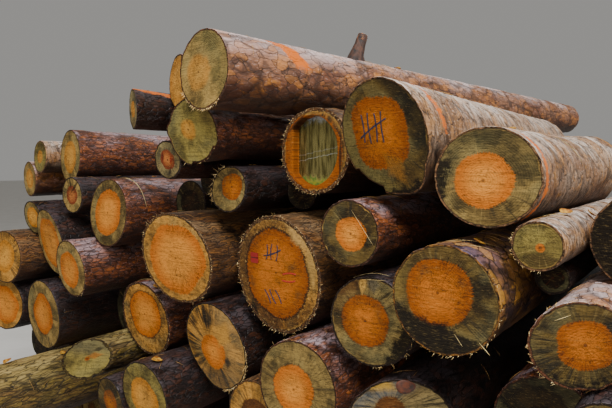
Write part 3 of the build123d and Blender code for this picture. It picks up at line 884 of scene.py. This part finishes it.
def grow_logs():
    """Every CAD log gets its grown surface. Returns the stem of each log in view."""
    for kind, bark in BARKS.items():
        bark.material = bark_surface("pine bark, " + kind, bark)
    for number, look in enumerate((*HIDDEN_LOOKS, SHADED_GAP_LOOK)):
        look.material = sawn_end(f"sawn pine end, hidden logs {number + 1}", look, 0.15)
    stems = {}
    for number, name in enumerate(sorted(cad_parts)):
        if name in ("mirror_pane", "number_tag"):
            continue
        fineness = FINENESS.get(name, VISIBLE_FINENESS if name in LOOKS else HIDDEN_FINENESS)
        skew = LONG_SKEW if name == "long_top_log" else 0.0
        for part, solid in enumerate(loose_parts(name)):
            hidden = SHADED_GAP_LOOK if name in IN_THE_GAPS else HIDDEN_LOOKS[(number + part) % len(HIDDEN_LOOKS)]
            look = LOOKS.get(name, hidden)
            stem = Stem(solid, skew, FLARE_SLICES if name in FLARED else 1)
            if name in LOOKS:
                look.material = sawn_end("sawn pine end, " + name.replace("_", " "), look, stem.radius)
                stems[name] = stem
            grow_log(f"{name}_wood_{part + 1}", name, stem, look, number + 60 * part, fineness)
    return stems


# Smaller pieces

def grow_stub(stem):
    """The branch stub of the long log: rings round its own axis, wider at its foot, with a jagged tip.

    At t from the log's axis its radius is the larger of two straight tapers, the foot's and the
    stub's, less the furrows of its bark. The tip is a disc that noise of the direction breaks up.
    """
    around, rows, tip_rings = 72, 46, 12
    below_tip, ridge_height, jag_depth = 4 * MM, 7 * MM, 40 * MM
    web_reach, web_end, web_length = 0.035, 0.185, 0.05
    root = stem.point(np.zeros(1), np.zeros(1), np.array([stem.saw_depth(0.0, 0.0) + STUB_ALONG]))[0]
    out = stem.top * math.cos(STUB_SLOPE) + stem.ahead * math.sin(STUB_SLOPE)
    across = stem.side
    forward = np.cross(out, across)
    angle = np.arange(around) * TURN / around
    t = np.linspace(STUB_START, STUB_TIP - below_tip, rows)[:, None]
    angles = np.broadcast_to(angle, (rows, around))
    foot = STUB_FOOT_RADIUS + (STUB_RADIUS - STUB_FOOT_RADIUS) * t / STUB_FOOT
    straight = STUB_RADIUS + (STUB_END_RADIUS - STUB_RADIUS) * t / STUB_TIP
    envelope = np.maximum(foot, straight) + 0 * angles
    spot = np.stack([*polar(0.04, angles), t + 0 * angles], axis=-1)
    ridge = layered(spot * np.array([60, 60, 14]), 3)
    # The foot runs out further to the front, where the branch's underside joins the stem
    web = web_reach * np.clip((web_end - t) / web_length, 0, 1)**1.5 * np.clip(-np.sin(angles), 0, 1)
    radius = envelope - ridge_height * ridge + web - 2 * MM
    sides = [*polar(radius, angles), t - 0.012 * noise(spot * 40, 8) * (t > 0.26)]
    shares = np.linspace(1, 0, tip_rings + 1)[1:-1, None]
    tip = [shares * side for side in polar(radius[-1], angle)]
    jag = layered(np.stack([tip[0] * 190, tip[1] * 190, 0 * tip[0]], axis=-1), 21)
    tip.append(STUB_TIP - below_tip - jag_depth * jag**1.5 * np.minimum(1, (1 - shares) * 4))
    grid = [np.concatenate([side, end]) for side, end in zip(sides, tip)]
    points = root + sum(part[..., None] * axis for part, axis in zip(grid, (across, -forward, out)))
    points = points.reshape(-1, 3)
    total = rows + tip_rings - 1
    closings = [root + out * (STUB_TIP - 0.025), root + out * STUB_START]
    last = (total - 1) * around + np.arange(around)
    faces = [quads(total, around)[:, ::-1], fan(last, len(points)),
             fan(np.arange(around), len(points) + 1)[:, ::-1]]
    indices = np.concatenate([np.repeat([0, 1], [(rows - 1) * around, (tip_rings - 1) * around]),
                              np.ones(around), np.zeros(around)])
    # A dead branch: its thin bark is dark, dry and ridged
    bark = simple_material("dead branch bark", ("#160c08", "#4a2c1c"), 55.0, 0.7, 3 * MM, (1, 1, 0.4))
    # Torn pine: long resinous fibres, orange-red and pale
    torn = simple_material("torn pine fibres", ("#9c3a10", "#d89a58"), 160.0, 0.7, 1 * MM)
    points = np.concatenate([points, closings])
    new_piece("branch_stub", points, faces, [bark, torn], indices, "long_top_log")
    # Splinters stand round the tip, along the stub's axis
    rng = np.random.default_rng(12)
    count = 46
    turn = rng.uniform(0, TURN, count)
    reach = 0.024 * rng.uniform(0.2, 1.0, count)**0.5
    base = root + out * (STUB_TIP - 0.042) + (reach * np.cos(turn))[:, None] * across
    base = base + (reach * np.sin(turn))[:, None] * forward
    ends = base + out * rng.uniform(0.018, 0.040, count)[:, None] + rng.normal(0, 0.0012, (count, 3))
    blades("stub_splinters", base, ends, rng.uniform(0.002, 0.005, count), torn, "long_top_log")


def blades(name, starts, ends, widths, material, label=None):
    """Thin splinters: each a four-sided point, from a small three-cornered foot to its tip."""
    along = unit(ends - starts)
    aside = unit(np.cross(along, [0.31, 0.52, 0.79]))
    upright = np.cross(along, aside)
    corners = [starts + aside * widths[:, None] / 2, starts - aside * widths[:, None] / 2,
               starts + upright * widths[:, None] / 3, ends]
    points = np.stack(corners, axis=1).reshape(-1, 3)
    first = 4 * np.arange(len(starts))[:, None]
    sides = ((0, 1, 2), (1, 0, 3), (2, 1, 3), (0, 2, 3))
    faces = np.concatenate([first + np.array(side) for side in sides])
    new_piece(name, points, [faces], [material], node=label)


def simple_material(name, colours, scale, roughness, bump, stretch=(1, 1, 1)):
    """A finish whose colour runs between two tints with a noise of the place, which is its relief too."""
    material, add = new_material(name)
    place = add("Mapping", add("TexCoord", out="Object"), Scale=stretch)
    spots = add("TexNoise", Vector=place, Scale=scale, Detail=4.0, Roughness=0.65)
    colour = add("MixRGB", add("MapRange", spots, 0.38, 0.62), *colours)
    relief = add("Bump", Strength=1.0, Distance=bump, Height=spots)
    add("OutputMaterial", add("BsdfPrincipled", colour, Roughness=roughness, Normal=relief))
    return material


def mirror_with_painted_reflections():
    """Old mirror left outside, dull silvering with painted reflections: grey-brown tree trunks over most of
    it and matt green greenery low down.
    """
    material, add = new_material("weathered mirror")
    place = add("TexCoord", out="Object")
    low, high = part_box("mirror_pane")
    height = add("SeparateXYZ", place, out="Z")
    # Painted reflection: vertical grey-brown streaks stand for reflected tree trunks
    reflected_trunks = add("TexNoise", Vector=add("Mapping", place, Scale=(1, 1, 0.12)), Scale=90.0, Detail=3.0)
    spots = add("TexNoise", Vector=place, Scale=60.0, Detail=4.0)
    level = add("Math MULTIPLY_ADD", spots, 0.07, height)
    # Painted reflection: reflected greenery low on the pane, drawn green and matt; above it the painted
    # trunks cover the silvering
    painted_greenery = add("MapRange SMOOTHSTEP", level, low[2] + 0.078, low[2] + 0.056)
    reflection_cover = add("MapRange SMOOTHSTEP", level, high[2] + 0.030, high[2] + 0.004, 0.5, 1.0)
    painted_trees = add("MixRGB", add("MapRange", reflected_trunks, 0.42, 0.62), "#857a48", "#4c4420")
    colour = add("MixRGB", reflection_cover, "#c9d6e0", painted_trees)
    # Two long fine scratches, nearly level
    slope = 0.16
    tilted = add("VectorMath DOT_PRODUCT", place, (-slope, 0.0, 1.0), out="Value")
    uneven = add("Math MULTIPLY_ADD", spots, 0.02, tilted)
    for height_share, strength in ((0.42, 0.35), (0.50, 0.22)):
        level_here = low[2] + height_share * (high[2] - low[2]) - slope * (low[0] + high[0]) / 2
        away = add("Math SUBTRACT", uneven, level_here + 0.010)
        scratch = add("MapRange", add("Math ABSOLUTE", away), 0.0016, 0.0006, 0.0, strength)
        colour = add("MixRGB", scratch, colour, "#dfe4e0")
    # Colours of the painted reflection of greenery
    green = add("MixRGB", add("MapRange", spots, 0.4, 0.6), "#355204", "#6c6e0c")
    colour = add("MixRGB", painted_greenery, colour, green)
    metal = add("MapRange", painted_greenery, 0.0, 1.0, 0.75, 0.0)
    rough = add("MapRange", painted_greenery, 0.0, 1.0, 0.26, 0.8)
    add("OutputMaterial", add("BsdfPrincipled", colour, Metallic=metal, Roughness=rough))
    return material


def tag_finish():
    """Red polyethylene tag, moulded: a soft gloss, scuffed, with a darker groove across its middle."""
    material, add = new_material("red plastic tag")
    place = add("TexCoord", out="Object")
    low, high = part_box("number_tag")
    height = add("SeparateXYZ", place, out="Z")
    from_middle = add("Math SUBTRACT", height, (low[2] + high[2]) / 2)
    groove = add("MapRange", add("Math ABSOLUTE", from_middle), 0.0028, 0.0012)
    scuffs = add("TexNoise", Vector=place, Scale=220.0, Detail=4.0, Roughness=0.7)
    colour = add("MixRGB", add("MapRange", scuffs, 0.5, 0.75, 0.0, 0.5), "#7a0300", "#3c0100")
    colour = add("MixRGB", groove, colour, "#3d0503")
    sunk = add("Math MULTIPLY", groove, -1.0)
    relief = add("Bump", Strength=1.0, Distance=1.2 * MM, Height=sunk)
    add("OutputMaterial", add("BsdfPrincipled", colour, Roughness=0.35, Normal=relief))
    return material


def carried_over():
    """The CAD's mirror pane and tag stay, with their own finishes."""
    for name, material in (("mirror_pane", mirror_with_painted_reflections()), ("number_tag", tag_finish())):
        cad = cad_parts[name]
        cad.data.materials.clear()
        cad.data.materials.append(material)


# What lies and hangs on the logs

def on_bark(stem, angle, behind, lift):
    """Places on a log's bark, by the angle round it and the distance from the sawn end.

    lift is added to the CAD's distance from the axis.
    """
    outline = stem.bark_distance(angle, np.full(angle.shape, IN_FRONT))
    along = stem.saw_depth(*polar(outline, angle)) + behind
    return stem.point(*polar(stem.bark_distance(angle, along) + lift, angle), along)


def on_end(stem, right, up, lift):
    """Places on a log's sawn end, by shares of its radius to the right and up, lift in front of it."""
    across, height = right * stem.radius, up * stem.radius
    return stem.point(across, height, stem.saw_depth(across, height) - lift)


def strands(name, lines, widths, material):
    """Thin three-cornered strands along lines of points: the section follows each line and tapers."""
    count, steps = lines.shape[:2]
    ahead = unit(lines[:, -1] - lines[:, 0])
    aside = unit(np.cross(ahead, [0.11, 0.21, 0.97]))
    upright = np.cross(ahead, aside)
    taper = 0.25 + 0.75 * np.sin(np.pi * (np.arange(steps) + 0.5) / steps)
    corners = []
    for corner in range(3):
        turn = TURN * corner / 3
        radial = aside * math.cos(turn) + upright * math.sin(turn)
        corners.append(lines + (radial * widths[:, None] / 2)[:, None, :] * taper[None, :, None])
    points = np.stack(corners, axis=2).reshape(-1, 3)
    first = 3 * steps * np.arange(count)[:, None]
    sides = np.concatenate([first + quad for quad in quads(steps, 3)])
    caps = np.concatenate([first + np.array([2, 1, 0]), first + 3 * (steps - 1) + np.array([0, 1, 2])])
    new_piece(name, points, [sides, caps], [material])


def needles(stems):
    """Fallen pine needles, bent over the upper bark near the sawn ends."""
    rng = np.random.default_rng(5)
    lines, steps = [], np.linspace(-0.5, 0.5, 4)
    for name, stem in sorted(stems.items()):
        # The large logs on top carry more needles, and further back
        count, furthest = (34, 1.0) if name in FINENESS else (13, 0.6)
        angle = rng.normal(TURN / 4, 0.55, count)
        behind = rng.uniform(0.03, furthest, count)
        turn = rng.uniform(0, TURN, count)
        length = rng.uniform(0.035, 0.065, count)
        round_it = angle[:, None] + np.sin(turn)[:, None] * length[:, None] * steps / stem.radius
        along_it = np.maximum(behind[:, None] + np.cos(turn)[:, None] * length[:, None] * steps, 0.004)
        lines.append(on_bark(stem, round_it, along_it, -1.5 * MM))
    lines = np.concatenate(lines)
    # Dry pine needles: fine straw-brown lines with a slight gloss, each of one tint
    dry = simple_material("dry pine needles", ("#8a5a26", "#c79a55"), 30.0, 0.6, 0.2 * MM)
    strands("pine_needles", lines, rng.uniform(0.0011, 0.0016, len(lines)), dry)


# Stalks of grass and twigs on the bark: log, first and last angle, first and last distance, width
STALKS = (
    ("front_log_14", 100, 10, 0.07, 0.11, 4.0),
    ("front_log_22", 95, 55, 0.05, 0.20, 2.2),
    ("front_log_22", 80, 48, 0.02, 0.17, 1.6),
    ("front_log_23", 120, 75, 0.02, 0.05, 2.0),
    ("front_log_12", 125, 60, 0.03, 0.06, 2.2),
    ("short_top_log", 60, 15, 0.42, 0.47, 3.0),
    ("front_log_26", 100, 60, 0.10, 0.25, 2.0),
)

# Stalks that lie on sawn ends: log, place of both tips in shares of the radius, width
END_STALKS = (
    ("front_log_21", (0.10, 0.66), (0.78, -0.26), 1.6),
    ("front_log_22", (0.62, -0.62), (0.80, -0.80), 3.0),
    ("front_log_22", (0.20, -0.55), (0.34, -0.74), 2.0),
    ("front_log_23", (-0.2, 0.90), (0.35, 0.93), 1.8),
    ("front_log_27", (-0.5, 0.52), (-0.2, 0.66), 2.0),
)


def stalks(stems):
    """Pale stalks and twigs, along the bark or straight across a sawn end."""
    share = np.linspace(0, 1, 12)
    lines, widths = [], []
    for name, first, last, start, stop, width in STALKS:
        angle = np.radians(first + (last - first) * share)
        behind = start + (stop - start) * share + 0.004 * np.sin(share * 5)
        lines.append(on_bark(stems[name], angle, behind, 0.5 * MM))
        widths.append(width * MM)
    for name, first, last, width in END_STALKS:
        right = first[0] + (last[0] - first[0]) * share
        up = first[1] + (last[1] - first[1]) * share
        lines.append(on_end(stems[name], right, up, width * MM / 3))
        widths.append(width * MM)
    # Dry grass: pale straw with a slight gloss
    dry = simple_material("dry grass stalks", ("#a58a52", "#d9c48c"), 60.0, 0.6, 0.3 * MM)
    strands("grass_stalks", np.stack(lines), np.array(widths), dry)


# Torn fibres at the edges of sawn ends: log, first and last angle, number, longest in millimetres
TORN_EDGES = (
    ("long_top_log", -150, -50, 90, 30),
    ("front_log_20", 110, 215, 46, 34),
    ("front_log_13", -75, 60, 44, 20),
    ("front_log_13", 90, 250, 26, 16),
    ("front_log_12", -80, 50, 30, 20),
    ("tagged_log", 0, 360, 110, 18),
    ("hollow_log", 120, 330, 70, 22),
    ("teardrop_log", -85, 10, 150, 34),
    ("front_log_23", -90, 30, 34, 20),
    ("front_log_22", -120, 60, 40, 20),
    ("front_log_06", -80, 100, 22, 20),
    ("front_log_26", 150, 280, 24, 16),
    ("front_log_18", -120, 0, 20, 18),
    ("front_log_27", 60, 240, 34, 18),
    ("front_log_24", 30, 150, 24, 18),
)


def torn_edges(stems):
    """Splinters that stand out at the edge of the saw cut, outwards and a little forwards."""
    rng = np.random.default_rng(9)
    shortest = 4 * MM
    starts, ends = [], []
    for name, first, last, count, longest in TORN_EDGES:
        stem = stems[name]
        angle = np.radians(rng.uniform(first, last, count))
        start = on_bark(stem, angle, np.full(count, 0.001), -0.007 * rng.uniform(0.5, 1.0, count))
        radial = np.cos(angle)[:, None] * stem.side + np.sin(angle)[:, None] * stem.top
        tangent = -np.sin(angle)[:, None] * stem.side + np.cos(angle)[:, None] * stem.top
        way = (radial * rng.uniform(0.1, 1.0, count)[:, None] + tangent * rng.normal(0, 0.7, count)[:, None]
               - stem.ahead * rng.uniform(0.15, 0.7, count)[:, None])
        length = shortest + (longest * MM - shortest) * rng.uniform(0, 1, count)**2
        starts.append(start)
        ends.append(start + unit(way) * length[:, None])
    starts, ends = np.concatenate(starts), np.concatenate(ends)
    # Torn sapwood: pale, dry and matt against the weathered end
    pale = simple_material("torn sapwood fibres", ("#b98f4c", "#e2cb94"), 90.0, 0.75, 0.5 * MM)
    blades("edge_splinters", starts, ends, rng.uniform(0.0014, 0.004, len(starts)), pale)


# Fallen leaves: log, angle round it, distance behind the sawn end and size
LEAVES = (
    ("front_log_12", 62, 0.03, 1.3),
    ("front_log_11", 75, 0.05, 1.4),
    ("front_log_22", 70, 0.12, 1.2),
    ("front_log_26", 75, 0.22, 1.3),
    ("front_log_26", 50, 0.40, 1.2),
    ("front_log_27", 80, 0.3, 1.3),
    ("front_log_14", 85, 0.25, 1.0),
    ("short_top_log", 100, 0.3, 1.2),
    ("long_top_log", 95, 1.1, 1.1),
    ("front_log_09", 80, 0.1, 1.1),
    ("jutting_log", 95, 0.25, 1.4),
    ("jutting_log", 70, 0.5, 1.2),
)


def leaves(stems):
    """Fallen leaves: an outline of sin(pi t) over the length, cupped across and curled at the tip."""
    rng = np.random.default_rng(31)
    rows, columns = 9, 6
    t = np.linspace(0, 1, rows)[:, None]
    s = np.linspace(-1, 1, columns)[None, :]
    points, faces = [], []
    for number, (name, degrees, behind, size) in enumerate(LEAVES):
        stem = stems[name]
        centre = on_bark(stem, np.radians([degrees]), np.array([behind]), 1.5 * MM)[0]
        normal = math.cos(math.radians(degrees)) * stem.side + math.sin(math.radians(degrees)) * stem.top
        turn = rng.uniform(0, TURN)
        tangent = np.cross(normal, stem.ahead)
        length_way = math.cos(turn) * stem.ahead + math.sin(turn) * tangent
        width_way = np.cross(normal, length_way)
        length, half_width = 0.036 * size, 0.013 * size
        along = (t - 0.5) * length + 0 * s
        across = s * half_width * np.sin(np.pi * t**0.85) + 0.0006 * s
        rise = (0.006 * size * s**2 * np.sin(np.pi * t) + 0.008 * size * t**3
                + 0.001 * rng.uniform(0, 1, (rows, columns)))
        grid = centre + sum(part[..., None] * way for part, way in
                            ((along, length_way), (across, width_way), (rise, normal)))
        points.append(grid.reshape(-1, 3))
        faces.append(quads(rows, columns, number * rows * columns, closed=False))
    # Dry broad leaves: yellow to brown patches with a dull gloss
    brown = simple_material("fallen leaves", ("#8a4e1a", "#d0a038"), 45.0, 0.55, 0.6 * MM)
    thicken(new_piece("fallen_leaves", np.concatenate(points), faces, [brown]), 0.5 * MM)


def thicken(piece, thickness):
    """Gives an open sheet its thickness, outwards on both sides."""
    modifier = piece.modifiers.new("thickness", "SOLIDIFY")
    modifier.thickness = thickness
    modifier.offset = 0


def bark_strip(stems):
    """A loose strip of bark on a log: a sheet along the stem, curled up at its long sides."""
    rows, columns = 36, 9
    t, s = np.linspace(0, 1, rows)[:, None], np.linspace(-1, 1, columns)[None, :]
    # Half its width is an angle round the log, and the other measures are lengths
    width = 0.17 + 0.05 * np.sin(t * 7) + 0.03 * noise(np.stack([t * 9, 0 * t, 0 * t], axis=-1), 4)
    angle = np.radians(56) + s * width * (0.4 + 0.6 * np.sin(np.pi * (0.06 + 0.9 * t))**0.5)
    behind = 0.20 + 0.36 * t + 0.008 * s * np.sin(t * 11)
    lift = 0.002 + 0.016 * s**2 + 0.006 * np.sin(t * 9 + s) + 0.004
    points = on_bark(stems["front_log_18"], angle, behind, lift)
    # Inner bark: pinkish brown to pale, dry, with fibres along the log
    inner = simple_material("loose inner bark", ("#7a4e34", "#c9a08a"), 40.0, 0.7, 1.5 * MM, (1, 0.3, 1))
    faces = [quads(rows, columns, closed=False)]
    thicken(new_piece("loose_bark_strip", points.reshape(-1, 3), faces, [inner]), 4 * MM)


# Wax-crayon tallies on two sawn ends: log, colour, width, and both ends of each stroke, in shares of
# the radius
TALLIES = (
    ("flared_butt_log", "#0c1830", 0.026, (
        ((-0.42, 0.36), (-0.44, -0.12)), ((-0.27, 0.38), (-0.29, -0.14)), ((-0.12, 0.36), (-0.15, -0.12)),
        ((0.03, 0.38), (0.00, -0.13)), ((-0.52, -0.04), (0.12, 0.26)))),
    ("tagged_log", "#0f1630", 0.022, (
        ((-0.18, 0.48), (-0.22, 0.22)), ((-0.06, 0.50), (-0.10, 0.23)), ((0.06, 0.49), (0.02, 0.22)),
        ((-0.28, 0.28), (0.14, 0.42)), ((-0.30, -0.30), (-0.16, -0.52)), ((-0.17, -0.28), (-0.03, -0.50)),
        ((-0.04, -0.27), (0.10, -0.48)))),
    ("tagged_log", "#981a02", 0.024, (((0.16, 0.02), (0.46, 0.06)), ((0.14, -0.08), (0.44, -0.05)))),
)


def chalk_tallies(stems):
    """Wax-crayon tally strokes: flat ribbons on the saw cut, slightly bent and of uneven width."""
    rows = 14
    t = np.linspace(0, 1, rows)[:, None]
    for number, (name, colour, width, strokes) in enumerate(TALLIES):
        points, faces = [], []
        for place, (first, last) in enumerate(strokes):
            first, last = np.array(first), np.array(last)
            way = unit(last - first)
            aside = np.array([-way[1], way[0]])
            bow = 0.02 * np.sin(np.pi * t) * (-1)**place
            uneven = noise(np.concatenate([t * 9, t * 0 + place, t * 0], axis=1), 3 + number)
            wide = width * (0.75 + 0.4 * uneven)
            middle = first + (last - first) * t + aside * bow
            half = aside * wide[:, None] / 2
            both = np.stack([middle - half, middle + half], axis=1)
            points.append(on_end(stems[name], both[..., 0], both[..., 1], 0.6 * MM).reshape(-1, 3))
            faces.append(quads(rows, 2, place * rows * 2, closed=False))
        # Wax crayon: a dark or red waxy layer, matt, in one tint with a grainy relief
        crayon = simple_material(f"wax crayon {number + 1}", (colour, colour), 200.0, 0.6, 0.8 * MM)
        thicken(new_piece(f"tally_{number + 1}", np.concatenate(points), faces, [crayon]), 0.8 * MM)


def knot(stems):
    """A grown-over branch knot on one end: a low dome, (1 - r^2)^0.5 high, with a groove round it."""
    stem = stems["front_log_25"]
    around, rows = 48, 13
    # Its place and width are shares of the log's radius, and its heights are lengths
    r, angle = np.linspace(1, 0, rows + 1)[:-1, None], np.arange(around)[None, :] * TURN / around
    centre = np.array([0.08, 0.80])
    size = 0.19 * (1 + 0.06 * np.sin(3 * angle + 1))
    right = centre[0] + r * size * np.cos(angle)
    up = centre[1] + 0.85 * r * size * np.sin(angle)
    dome = 0.011 * np.sqrt(1 - r**2) - 0.004 + 0.0010 * np.sin(r * 34)
    points = on_end(stem, right, up, dome).reshape(-1, 3)
    top, base = (on_end(stem, centre[:1], centre[1:], lift) for lift in (0.007, -0.008))
    first, last = np.arange(around), (rows - 1) * around + np.arange(around)
    faces = [quads(rows, around), fan(last, len(points))[:, ::-1], fan(first, len(points) + 1)]
    # Resinous knot: nearly black red-brown, a little glossy with resin
    resin = simple_material("resinous knot", ("#220a00", "#582400"), 50.0, 0.55, 1 * MM)
    new_piece("end_knot", np.concatenate([points, top, base]), faces, [resin], node="front_log_25")


# Stage

# Soft square lights: name, place, what it shines at, width and power
LIGHTS = (
    ("key", (3.2, -4.2, 6.0), (0.2, -1.0, 1.0), 3.0, 600),
    ("front", (1.0, -7.0, 2.6), (0.2, -1.2, 1.1), 2.5, 160),
    ("back", (-2.5, 6.0, 5.0), (0, 0.5, 1), 4.0, 260),
    ("side", (6.5, 1.5, 3.6), (0.5, 0.2, 1.0), 4.0, 200),
)
FLOOR_REACH = 60


def light(name, place, aim, size, power):
    """A square soft light at a place, turned to face its aim."""
    lamp = bpy.data.lights.new(name, "AREA")
    lamp.size = size
    lamp.energy = power
    holder = bpy.data.objects.new(name, lamp)
    holder.location = place
    x, y, z = np.array(aim) - np.array(place)
    holder.rotation_euler = (math.atan2(math.hypot(x, y), -z), 0, math.atan2(-x, y))
    bpy.context.scene.collection.objects.link(holder)


def stage():
    """A pale floor under soft studio light, with deep shade between the logs."""
    corners = FLOOR_REACH * np.array([[-1, -1, 0], [1, -1, 0], [1, 1, 0], [-1, 1, 0]])
    # Pale cast floor: matt, nearly even, so that only the stack draws the eye
    pale = simple_material("pale floor", ("#cfccc6", "#d6d3cd"), 3.0, 0.9, 0.5 * MM)
    floor = new_piece("floor", corners, [np.array([[0, 1, 2, 3]])], [pale], slot=None)
    world = bpy.data.worlds.new("soft sky")
    world.use_nodes = True
    background = world.node_tree.nodes["Background"]
    background.inputs["Color"].default_value = linear("#e6e4e0")
    background.inputs["Strength"].default_value = 0.38
    bpy.context.scene.world = world
    for lamp in LIGHTS:
        light(*lamp)


def camera():
    """A standing person's view along the level, 39 degrees to the left of the logs' direction.

    Its lens is 520 pixels long where the picture is 612 wide, and its shift puts the horizon
    38 pixels above the middle. Its place is set from the bottom row and the log that juts out.
    """
    eye_height, yaw, lens, picture_width, horizon, sensor = 1.62, 39, 520, 612, 38, 36
    holder = bpy.data.objects.new("camera", bpy.data.cameras.new("camera"))
    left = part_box("bottom_row")[0][0] - 0.0025
    front_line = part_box("jutting_log")[0][1] + 0.5
    holder.location = (left + 3.8075, front_line - 1.35, eye_height)
    holder.rotation_euler = (math.radians(90), 0, math.radians(yaw))
    holder.data.sensor_width = sensor
    holder.data.lens = lens / picture_width * sensor
    holder.data.shift_y = -horizon / picture_width
    holder.data.clip_end = 200
    bpy.context.scene.collection.objects.link(holder)
    bpy.context.scene.camera = holder


stems = grow_logs()
grow_stub(stems["long_top_log"])
carried_over()
needles(stems)
stalks(stems)
torn_edges(stems)
leaves(stems)
bark_strip(stems)
chalk_tallies(stems)
knot(stems)
stage()
camera()
